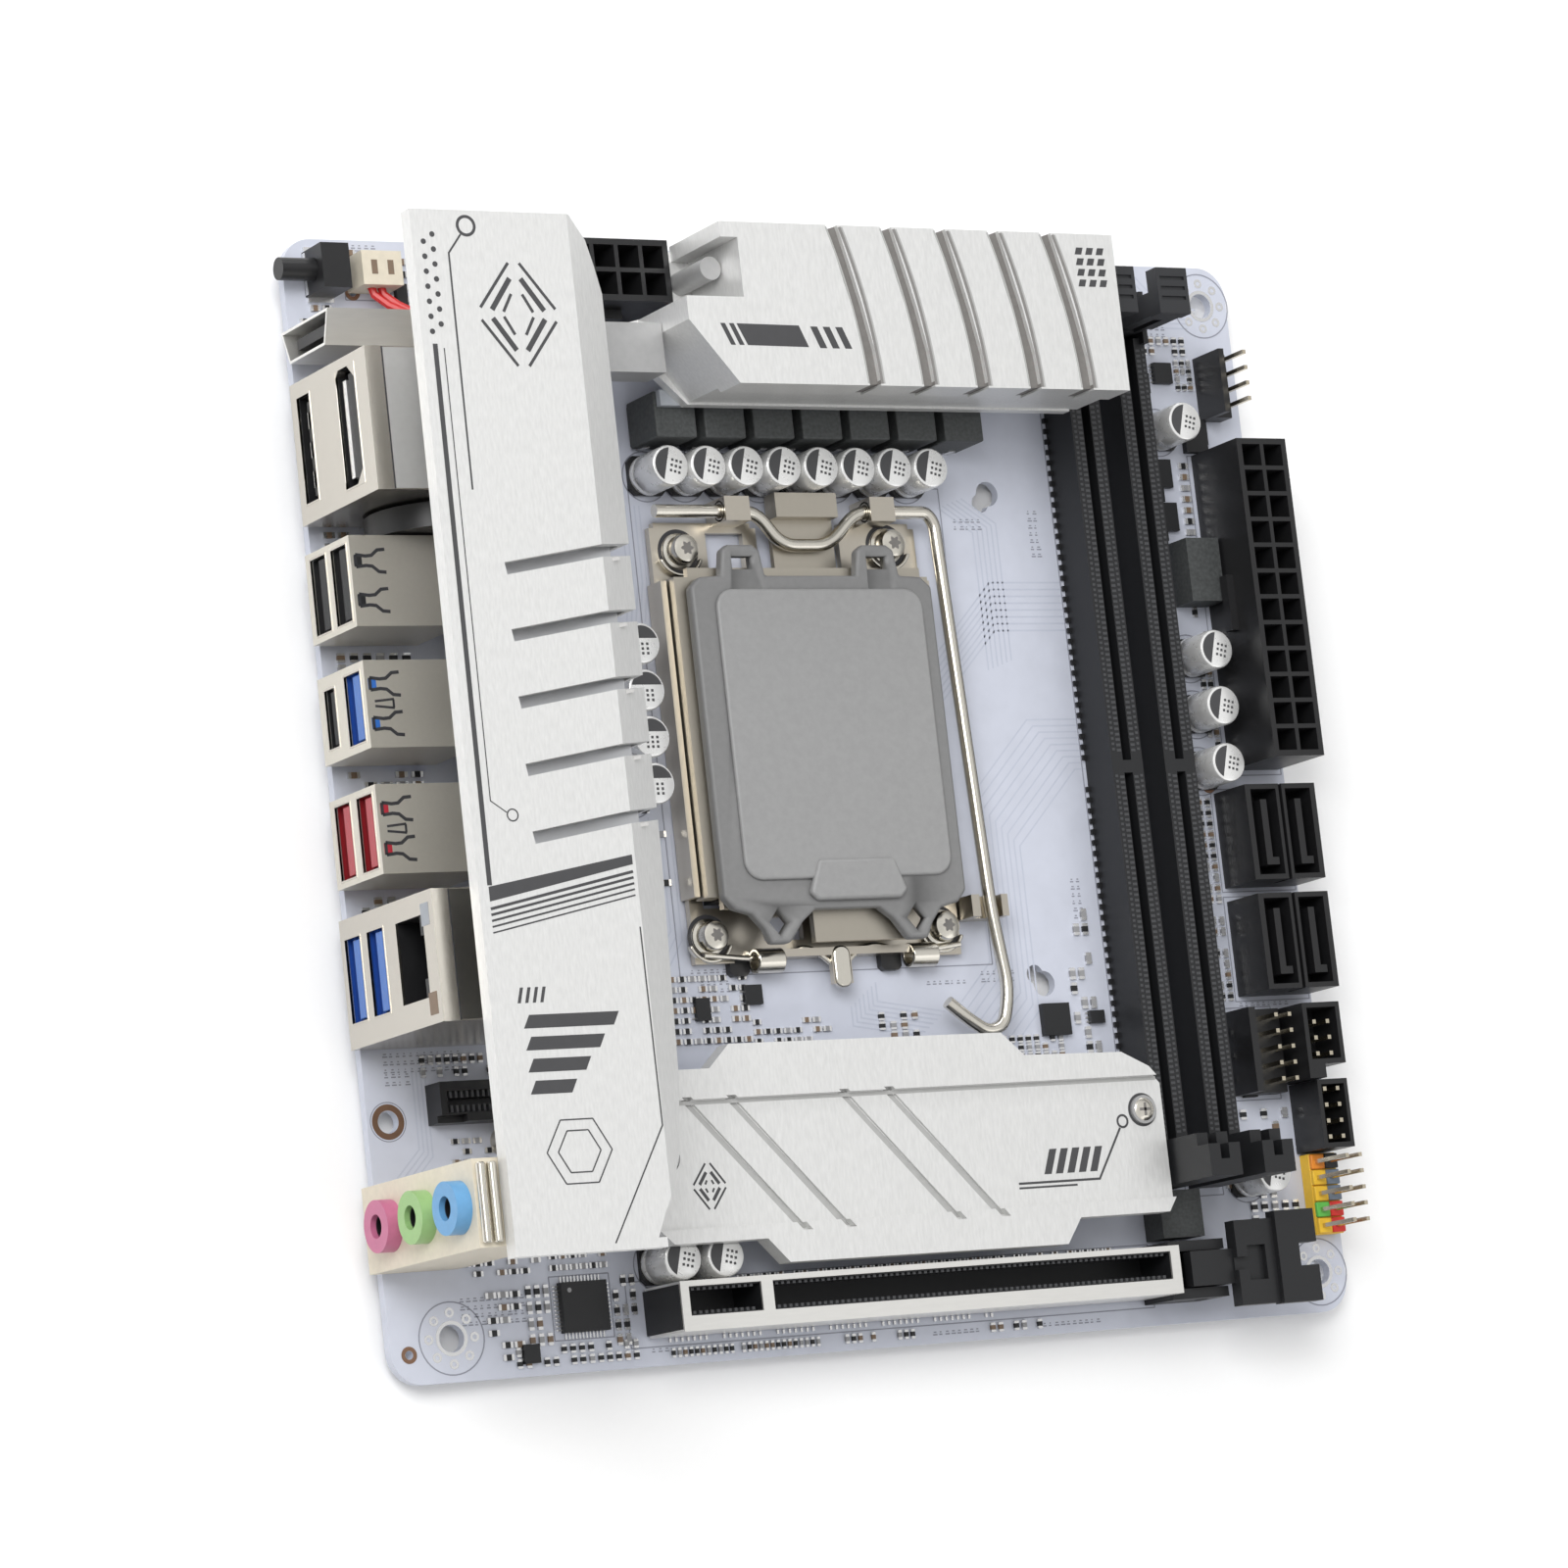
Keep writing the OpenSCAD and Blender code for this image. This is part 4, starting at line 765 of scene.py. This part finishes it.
def corner_cut(x, y, cut):
    """A rectangle with its four corners cut off."""
    return [(x[0] + cut, y[0]), (x[1] - cut, y[0]), (x[1], y[0] + cut), (x[1], y[1] - cut),
            (x[1] - cut, y[1]), (x[0] + cut, y[1]), (x[0], y[1] - cut), (x[0], y[0] + cut)]


def round_corner_box(x, y, radius):
    """A rectangle with rounded corners, anticlockwise."""
    out = []
    for cx, cy, first in ((x[1] - radius, y[0] + radius, -90), (x[1] - radius, y[1] - radius, 0),
                          (x[0] + radius, y[1] - radius, 90), (x[0] + radius, y[0] + radius, 180)):
        for k in range(CURVE_STEPS + 1):
            angle = math.radians(first + 90 * k / CURVE_STEPS)
            out.append((cx + radius * math.cos(angle), cy + radius * math.sin(angle)))
    return out


def socket_cover_cap():
    """The grey cap that rides on the load plate."""
    cap = Shape()
    outline = [(58.9, 68.2), (60.6, 66.4), (63.4, 65.6), (65.4, 63.4), (66.4, 61), (69.6, 61),
               (72.2, 64.2), (74.6, 66.0), (86.0, 66.0), (88.4, 64.2), (90.8, 61), (94.0, 61),
               (95.2, 63.4), (97, 65.6), (100.2, 66.4), (101.8, 68.2), (101.8, 115.6), (100, 117.2),
               (96.2, 117.4), (95.6, 121.4), (94.4, 122.2), (90.2, 122.2), (89, 121.4), (88.4, 117.4),
               (72.2, 117.4), (71.6, 121.4), (70.4, 122.2), (66.2, 122.2), (65, 121.4), (64.4, 117.4),
               (60.6, 117.2), (58.9, 115.6)]
    cap.prism(outline, (6.3, 8.4))
    # The body's darker grey is painted shade on the cap's edges, round the lighter panel
    body = cap.make("cap_body", cap_rim_shade, "load_plate", bevel=0.5, segments=3)
    cutters = Shape()
    for x in (68, 92.4):
        cutters.prism([(x - 1.9, 64.2), (x, 61.9), (x + 1.9, 64.2), (x, 66.6)], (0, 20))
    for x in (68.3, 92.3):
        cutters.box((x - 1.9, x + 1.9), (118.3, 120.5), (0, 20))
    tool = cutters.make("cap_cutters", cap_grey, "load_plate")
    cut = body.modifiers.new("windows", "BOOLEAN")
    cut.object = tool
    cut.solver = "EXACT"
    bake(body)
    bpy.data.objects.remove(tool)
    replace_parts(body, "socket_cap")
    panel = Shape().prism(round_corner_box((62.7, 99.4), (70.6, 115.2), 3.0), (8.3, 9.1))
    panel.make("cap_panel", cap_grey, "load_plate", bevel=0.55, segments=3)
    outline = [(74.6, 67.2), (89.4, 67.2), (90.6, 68.4), (88.8, 73.4), (75.4, 73.4), (73.4, 68.4)]
    tab = Shape().prism(outline, (8.3, 9.6))
    tab.make("cap_finger_tab", cap_grey, "load_plate", bevel=0.5, segments=3)


def bake(obj):
    """Applies a piece's modifiers in the order they stand."""
    depsgraph = bpy.context.evaluated_depsgraph_get()
    mesh = bpy.data.meshes.new_from_object(obj.evaluated_get(depsgraph))
    obj.modifiers.clear()
    obj.data = mesh


# ---- Power stage ---------------------------------------------------------------------------------

CAPACITORS = [(57.8 + 6.65 * i, 134.5) for i in range(8)] + [
    (49.5, 107.1), (49.5, 100), (49.5, 92.9), (49.5, 85.8), (153.5, 142.6), (154.2, 105.5),
    (154.2, 96.4), (153.9, 87.2), (45.3, 14.9), (52.6, 14.9), (153.2, 22)]


def capacitors():
    cans, bases, marks = Shape(), Shape(), Shape()
    radius, top = 3.15, 8.2
    profile = [(radius * 0.99, 0.75), (radius, 1.0), (radius, 1.5), (radius * 0.93, 1.85),
               (radius, 2.2), (radius, top - 0.45), (radius * 0.95, top - 0.14), (radius * 0.86, top)]
    for x, y in CAPACITORS:
        cans.turned((x, y, 0), profile, 40)
        bases.prism(corner_cut((x - 3.2, x + 3.2), (y - 3.05, y + 3.05), 0.9), (0.02, 0.8))
        # The dark part of the top lies towards the rear, or away from the slot in the column by the cover
        middle = 90 if 49 < x < 50 else 165
        arc = []
        for k in range(17):
            angle = math.radians(middle - 74 + 148 * k / 16)
            arc.append((x + 2.68 * math.cos(angle), y + 2.68 * math.sin(angle)))
        marks.prism(arc, (top, top + 0.03))
        turn = math.radians(middle)
        for row in range(3):
            for column in range(3):
                away, side = -0.15 - 0.72 * row, 0.85 * (column - 1)
                mx = x + away * math.cos(turn) - side * math.sin(turn)
                my = y + away * math.sin(turn) + side * math.cos(turn)
                marks.box((mx - 0.2, mx + 0.2), (my - 0.2, my + 0.2), (top, top + 0.03))
    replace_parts(cans.make("capacitor_cans", can_white), "vrm_capacitors")
    bases.make("capacitor_bases", black)
    marks.make("capacitor_marks", ink)


def chokes():
    blocks, leads = Shape(), Shape()
    for i in range(7):
        x = 55.5 + 8.6 * i
        blocks.box((x, x + 7.1), (138.6, 145.7), (0.6, 9.0))
        blocks.box((x + 0.25, x + 6.85), (138.9, 145.4), (0.02, 0.6))
        for lead in (x + 1.2, x + 4.7):
            leads.box((lead, lead + 1.2), (138.45, 138.7), (0.02, 2.4))
    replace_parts(blocks.make("choke_blocks", choke_grey, bevel=0.35, segments=3), "vrm_chokes")
    leads.make("choke_leads", tin)


def groove_x(i, y):
    """Middle of a heatsink groove at a given y: it leans back and straightens at the front."""
    back = (y - 142) / 26
    return 83.9 + 9.66 * i - 1.0 * back - 3.9 * back ** 2


def heatsink_strips():
    """Painted shade in the curved grooves: dark floors, grey linings on their front walls and paler grey
    lines at their rims.
    """
    strips, shades, edges = Shape(), Shape(), Shape()
    for i in range(5):
        rows = [142.9 + 24.2 * k / 20 for k in range(21)]
        path = [(groove_x(i, y), y) for y in rows]
        strips.line(path, 1.9, (21.4, 26.2))
        shades.line([(x + 1.2, y) for x, y in path], 0.5, (21.4, HEATSINK_TOP + 0.03))
        for shift in (-1.2, 1.6):
            rim = [(x + shift, y) for x, y in path]
            edges.line(rim, 0.3, (HEATSINK_TOP - 0.02, HEATSINK_TOP + 0.03))
    strips.make("groove_floor_shade", recess_shade_grey)
    shades.make("groove_wall_shade", wall_shade_grey)
    edges.make("groove_rim_shade", light_shade_grey)


def heatsink_print():
    z = printed(HEATSINK_TOP)
    marks = Shape()
    marks.prism([(60.6, 151.7), (71.4, 151.6), (72.8, 148.3), (62.2, 148.4)], z)
    for x in (57.8, 59.3):
        marks.prism([(x, 151.7), (x + 0.8, 151.7), (x + 2.3, 148.4), (x + 1.5, 148.4)], z)
    for x in (73.4, 75.6, 77.8):
        marks.prism([(x, 151.5), (x + 1.2, 151.5), (x + 2.6, 148.2), (x + 1.4, 148.2)], z)
    for row in range(4):
        for k in range(3):
            x, y = 122.9 + 1.95 * k, 159.0 + 1.7 * row
            marks.prism([(x, y), (x + 1.2, y), (x + 1.6, y + 1.1), (x + 0.4, y + 1.1)], z)
    marks.make("heatsink_print", ink)


# ---- Port cover ----------------------------------------------------------------------------------

def emblem_ring(shape, centre, reach, width, gap, foot, z):
    """One of an emblem's nested diamonds: four bars that leave its points open."""
    for side in (-1, 1):
        for way in (-1, 1):
            tip = (centre[0] + side * gap, centre[1] + way * reach)
            shape.line([tip, (centre[0] + side * reach * 0.8, centre[1] + way * foot)], width, z)


def cover_print():
    z = printed(COVER_TOP)
    marks, thin = Shape(), Shape()
    # Beads and the long line on the rear edge
    for row in range(7):
        for column in range(2):
            x, y = 3.5 + 1.5 * column, 159.6 - 2.2 * row + 1.1 * column
            marks.washer((x, y), 0.0, 0.42, z, sides=12)
    marks.line([(3.7, 144.6), (3.5, 66.6)], 0.75, z)
    thin.line([(5.1, 144), (5, 78.6), (7.4, 76.9)], 0.16, z)
    thin.washer((8.3, 76.5), 0.75, 0.95, z, sides=24)
    # Circuit line at the top corner
    marks.washer((10.6, 162.1), 1.15, 1.6, z, sides=32)
    marks.line([(9.6, 160.8), (7.4, 158), (7.3, 123.4)], 0.28, z)
    # Emblem: nested diamonds
    for reach, width in ((7.6, 0.45), (5.3, 0.8), (3.0, 0.45)):
        emblem_ring(marks, (17.7, 149.2), reach, width, 0.9, reach * 0.12, z)
    # Stripe band across the cover
    marks.prism([(3.3, 66.4), (3.3, 64.3), (26.8, 69.0), (26.8, 70.4)], z)
    for k in range(5):
        drop = 0.85 * (k + 1)
        thin.line([(3.3, 64.1 - drop), (26.7, 68.8 - drop)], 0.42 - 0.05 * k, z)
    # Slanted bars and nested hexagons
    for k in range(4):
        low, long = 46.2 - 3.1 * k, 14.4 - 2.6 * k
        marks.prism([(6.6, low), (6.6 + long, low), (7.6 + long, low + 1.9), (7.6, low + 1.9)], z)
    for k in range(4):
        x = 6.0 + 1.2 * k
        marks.prism([(x, 49.8), (x + 0.5, 49.8), (x + 1.1, 52), (x + 0.6, 52)], z)
    for reach in (5.2, 3.4):
        corners = [(13.4 + reach * math.cos(math.radians(a)), 28.6 + reach * math.sin(math.radians(a)))
                   for a in range(0, 361, 60)]
        thin.strokes(corners, 0.2, z)
    thin.line([(26.9, 60), (27.1, 31.6), (17.6, 15.4)], 0.22, z)
    marks.make("cover_print", ink)
    thin.make("cover_fine_print", ink)


def cover_slats():
    """Bright linings along the front side of each louvre, and a grey floor under its slot."""
    linings, floors = Shape(), Shape()
    tilt = math.radians(9.4)
    for i in range(5):
        low = 73.2 + 9.7 * i - 1.35
        path = [(11.6 + s * math.cos(tilt), low + s * math.sin(tilt)) for s in (0, 8, 16, 19.6)]
        linings.line(path, 0.5, (31.6, 36.4))
        floors.line([(x, y + 2.2) for x, y in path], 4.6, (31.04, 31.2))
    linings.make("louvre_linings", polished)
    floors.make("louvre_floors", bare)


# ---- Storage heatsink ----------------------------------------------------------------------------

def storage_print():
    z = printed(STORAGE_TOP)
    marks = Shape()
    for k in range(5):
        x = 108.2 + 2.1 * k
        marks.prism([(x, 23.6), (x + 1.3, 23.6), (x + 2.7, 27.4), (x + 1.4, 27.4)], z)
    marks.line([(103.4, 22.4), (118.2, 22.4), (123, 30)], 0.35, z)
    marks.line([(103.4, 21.7), (114, 21.7)], 0.3, z)
    marks.washer((123.6, 31.0), 0.75, 1.1, z, sides=24)
    for reach, width in ((3.4, 0.3), (2.1, 0.5), (0.9, 0.3)):
        emblem_ring(marks, (49.4, 25), reach, width, 0.4, 0.3, z)
    marks.make("storage_print", ink)
    # Floors of the slanted grooves and the line at the deck's step, in a grey that is painted shade
    floors = Shape()
    for x in (45.7, 53.3, 72.8, 80.7):
        corners = [(x + 0.15, 38.0), (x + 1.45, 38.0), (x + 19.7, 18.0), (x + 18.4, 18.0)]
        floors.prism(corners, (10.46, 10.56))
    floors.prism([(38, 37.1), (130.6, 37.1), (130.6, 37.7), (38, 37.7)], (10.99, 11.02))
    floors.make("storage_groove_shade", light_shade_grey)
    heads, rings, cross = Shape(), Shape(), Shape()
    for x, y in ((127.5, 32.6), (42.3, 29.6)):
        heads.turned((x, y, 0), [(1.9, 11.0), (1.9, 11.5), (1.5, 11.8), (0.9, 11.9)], 36)
        # A dark ring round each head: painted shadow in the gap round it
        rings.washer((x, y), 2.0, 2.6, (11.0, 11.03))
        # A dark cross on each head: painted shade in its recess
        for a, b in ((1.0, 0.22), (0.22, 1.0)):
            cross.box((x - a, x + a), (y - b, y + b), (11.8, 11.92))
    heads.make("storage_screw_heads", bright_nickel)
    rings.make("storage_screw_shadow_rings", ink)
    cross.make("storage_screw_crosses", recess_shade_grey)


# ---- Slots ---------------------------------------------------------------------------------------

def memory_details(letter, x):
    """Contact ribs on both sides of a memory slot's channel, its solder feet and its side ribs."""
    ribs, feet = Shape(), Shape()
    first, last, key, pitch = 29, 155, 87, 0.85
    for k in range(int((last - first) / pitch)):
        y = first + pitch * k
        if abs(y - key) < 1.8:
            continue
        for side in (-1, 1):
            ribs.box(sorted((x + side * 0.95, x + side * 1.75)), (y, y + 0.42), (7.4, 7.46))
            ribs.box(sorted((x + side * 2.1, x + side * 2.6)), (y + 0.2, y + 0.6), (7.4, 7.46))
        if k % 2:
            feet.box((x - 3.5, x - 2.9), (y, y + 0.8), (0.05, 0.5))
    ribs.make("memory_ribs_" + letter, rib_grey)
    feet.make("memory_feet_" + letter, black)


def slot_details():
    """Contacts along both sides of the slot's mouths, and its solder feet."""
    contacts, feet = Shape(), Shape()
    for first, last in ((44.4, 55.8), (58.8, 128.8)):
        for k in range(int(last - first)):
            x = first + 0.2 + k
            for y in ((6.42, 6.95), (9.95, 10.48)):
                contacts.box((x, x + 0.5), y, (9.0, 10.6))
    contacts.make("slot_contacts", rib_grey)
    for k in range(56):
        x = 46 + k * 1.03
        if k % 9 < 7:
            feet.box((x, x + 0.35), (3.3, 3.9), (0.0, 0.25))
    feet.make("slot_feet", tin)


def front_header():
    """The front panel header: a yellow base with a coloured block at each pin."""
    base = Shape().box((164, 169.2), (12.1, 24.9), (0.02, 2.4))
    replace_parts(base.make("front_header_base", yellow, bevel=0.1), "front_panel_header")
    rear = (yellow, header_green, yellow, yellow, header_orange)
    front = (header_red, header_red, header_slate, header_slate, black)
    for k in range(5):
        y = (12.25 + 2.54 * k, 14.6 + 2.54 * k)
        for column, colour in (((164.05, 166.55), rear[k]), ((166.6, 169.15), front[k])):
            name = "front_header_%d_%s" % (k + 1, "rear" if column[0] < 165 else "front")
            Shape().box(column, y, (2.4, 3.1)).make(name, colour, bevel=0.15)


def wireless_contacts():
    contacts = Shape()
    for k in range(21):
        x = 11.6 + 0.9 * k
        for y in ((38.7, 39.7), (40.8, 41.8)):
            contacts.box((x, x + 0.4), y, (1.42, 4.2))
    contacts.make("wireless_contacts", rib_grey)


# ---- Ports ---------------------------------------------------------------------------------------

def spring_cuts(shape, fill, y, top, middle_spring):
    """Fork-shaped springs pressed into the top of a port can, and the plastic seen through them."""
    x0 = -1.2
    z = (top, top + 0.02)
    for side in (-1, 1):
        middle = y + side * 2.9
        shape.line([(x0, middle - 0.9), (x0, middle + 0.9)], 0.5, z)
        fill.box((x0 - 0.3, x0 + 1.0), (middle - 0.75, middle + 0.75), (top, top + 0.012))
        for way in (-1, 1):
            leg = [(x0, 0.9), (x0 + 1.6, 0.7), (x0 + 2.6, 0.8), (x0 + 3.6, 1.6), (x0 + 4.8, 1.7)]
            shape.line([(x, middle + way * reach) for x, reach in leg], 0.5, z)
    if middle_spring:
        for way in (-1, 1):
            shape.line([(x0 + 0.5, y + way * 0.35), (x0 + 3.6, y + way * 0.65)], 0.36, z)
        shape.line([(x0 + 3.5, y - 0.6), (x0 + 3.5, y + 0.6)], 0.36, z)


def mouth_frame(mouth, wall):
    """The low and high strips along y and along z round a port's mouth."""
    y0, y1, z0, z1 = mouth
    return ((y0 - wall, y0), (y1, y1 + wall)), ((z0 - wall, z0), (z1, z1 + wall))


WALL, WALL_X = 0.15, (-1.5, 8.4)
LIP, LIP_X = 0.25, (-2.06, -1.7)

# Mouths of the ports as low y, high y, low z, high z, by the colour of the plastic in them
MOUTHS = {
    "black": ((109.3, 120.5, 3.6, 8.4), (109.3, 120.5, 10.4, 15.2), (92.4, 101, 4, 7.2)),
    "blue": ((91.6, 101.8, 10.6, 15.6), (52.4, 64.6, 2.6, 7.4), (52.4, 64.6, 9.8, 14.8)),
    "red": ((73.1, 83.9, 3.6, 8.4), (73.1, 83.9, 10.8, 15.6)),
    "video": ((128.8, 144.6, 4.4, 8.4), (128, 145.4, 17.4, 23.2)),
}


def port_mouths():
    """Lips round the mouths, walls inside them in dark colours that are painted shade, and the plastic
    tongues in them.
    """
    lips = Shape()
    # Each kind's dark colour for the walls, painted shade inside its mouths (darker copies of the plastic
    # for blue and red), and the colour of its tongues
    colours = {"black": (black, black_matt), "blue": (blue_shade, blue), "red": (red_shade, red),
               "video": (black, black_matt)}
    for kind, mouths in MOUTHS.items():
        walls, tongues = Shape(), Shape()
        for mouth in mouths:
            y0, y1, z0, z1 = mouth
            tall = z1 - z0
            # The walls' uprights and the lips' level bars reach over the corners
            sides, ends = mouth_frame(mouth, WALL)
            for y in sides:
                walls.box(WALL_X, y, (z0 - WALL, z1 + WALL))
            for z in ends:
                walls.box(WALL_X, (y0, y1), z)
            sides, ends = mouth_frame(mouth, LIP)
            for z in ends:
                lips.box(LIP_X, (y0 - LIP, y1 + LIP), z)
            for y in sides:
                lips.box(LIP_X, y, (z0, z1))
            # A dark floor below each tongue: painted shade in the mouth
            if kind != "video":
                walls.box((-0.9, 8.3), (y0, y1), (z0, z0 + 0.3 * tall))
                tongues.box((-1.75, 8.3), (y0 + 0.35, y1 - 0.35), (z0 + 0.42 * tall, z1 - 0.14 * tall))
        walls.make("port_shade_walls_" + kind, colours[kind][0])
        if tongues.points:
            tongues.make("port_tongues_" + kind, colours[kind][1], bevel=0.15)
    lips.make("port_lips", warm_tin)
    # The upper video mouth has cut corners and a pale contact bar; the lower one a contact bar
    corners, bars = Shape(), Shape()
    y0, y1, z0, z1 = MOUTHS["video"][1]
    for outline in ([(y0, z1), (y0, z1 - 2), (y0 + 2, z1)], [(y1, z1), (y1 - 2, z1), (y1, z1 - 2)],
                    [(y1, z0), (y1, z0 + 0.9), (y1 - 0.9, z0)]):
        corners.joined([(-2.04, y, z) for y, z in outline], [(-0.6, y, z) for y, z in outline])
    corners.make("video_mouth_corners", warm_tin)
    bars.box((-1.4, 8.2), (y0 + 1.4, y1 - 1.6), (z0 + 0.9, z0 + 2.0))
    y0, y1, z0, z1 = MOUTHS["video"][0]
    for k in range(3):
        bars.box((-1.2, 8.2), (y0 + 2.2 + 4.4 * k, y0 + 4.6 + 4.4 * k), (z0 + 1.4, z0 + 2.6))
    bars.make("video_contact_bars", tin)


def port_details():
    cuts = Shape()
    for node, colour in (("black_port_stack", black), ("mixed_port_stack", blue), ("red_port_stack", red)):
        low, high = span(node)
        seen = Shape()
        spring_cuts(cuts, seen, (low.y + high.y) / 2, high.z, colour is not black)
        seen.make("spring_fill_" + node.split("_")[0], colour)
    cuts.make("port_spring_cuts", steel_black)
    port_mouths()
    # Lids of the two tall cans stand behind their front rims
    seams = Shape()
    # The network can's lid is a dark metal over its tin: a painted dark reflection on its top
    for node, lid in (("stacked_video_ports", can_grey), ("network_port_stack", network_lid_reflection)):
        low, high = span(node)
        Shape().box((0.9, high.x - 0.3), (low.y + 0.2, high.y - 0.2), (high.z, high.z + 0.02)).make(
            "can_lid_" + node.split("_")[0], lid)
        seams.box((0.65, 0.9), (low.y + 0.1, high.y - 0.1), (high.z, high.z + 0.03))
    seams.make("can_seams", steel_black)
    low, high = span("network_port_stack")
    for k, (y, colour) in enumerate((((50.0, 53.2), tan), ((62.7, 65.9), pad_grey))):
        lamp = Shape().box((low.x - 0.05, low.x + 0.02), y, (high.z - 3.6, high.z - 1.2))
        lamp.make("network_lamp_%d" % (k + 1), colour)


def audio_details():
    """Rolled contact strips on the audio block, black linings and end discs in its sockets that are painted
    shade deep in each bore, and its closed back.
    """
    strips = Shape()
    for x in (-1.0, 0.75):
        strips.turned((x, 16.9, 35.1), [(0.55, 0), (0.72, 0.2), (0.72, 11.1), (0.55, 11.3)], 24, "y")
    strips.box((12.45, 12.9), (16.9, 28.2), (3, 6))
    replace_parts(strips.make("audio_strips", bright_nickel), "audio_clip")
    # Black linings and end discs inside each socket's bore: painted shade deep in the hole
    bore_shades = Shape()
    for z in (8.2, 19, 29.8):
        bore_shades.pipe((-3.5, 22.5, z), 1.5, 1.72, 11, 32)
        bore_shades.turned((7.3, 22.5, z), [(1.7, 0), (1.7, 0.2)], 32, "x")
    bore_shades.make("audio_bore_shades", black)
    low, high = span("audio_block")
    back = ((high.x - 0.02, high.x + 0.12), (low.y + 0.4, high.y - 0.4), (low.z + 0.6, high.z - 0.6))
    Shape().box(*back).make("audio_back", cream)


def corner_details():
    """Legs of the power button's housing, and darker marks in the mouths of the battery lead's plug that
    are painted shade.
    """
    legs = Shape()
    for y in ((160.4, 161.2), (168, 168.8)):
        legs.box((3.6, 7.8), y, (0.0, 0.5))
    legs.box((3.36, 3.42), (161.4, 167.8), (0.2, 1.0))
    legs.make("button_legs", tin)
    # Darker marks in the plug's mouths: painted shade inside them
    slots = Shape()
    for x in (11.9, 14.6):
        slots.box((x, x + 1.0), (163.6, 165.8), (5.58, 5.62))
    slots.make("plug_mouth_shades", tan)


def build():
    finish_nodes()
    hole_rings()
    surface_parts()
    board_lines()
    board_tracks()
    legged_chip()
    socket_hardware()
    socket_front_rail()
    socket_rear_ears()
    lever()
    socket_cover_cap()
    capacitors()
    chokes()
    heatsink_strips()
    heatsink_print()
    cover_print()
    cover_slats()
    storage_print()
    memory_details("a", 135)
    memory_details("b", 145)
    slot_details()
    front_header()
    wireless_contacts()
    port_details()
    audio_details()
    corner_details()


build()
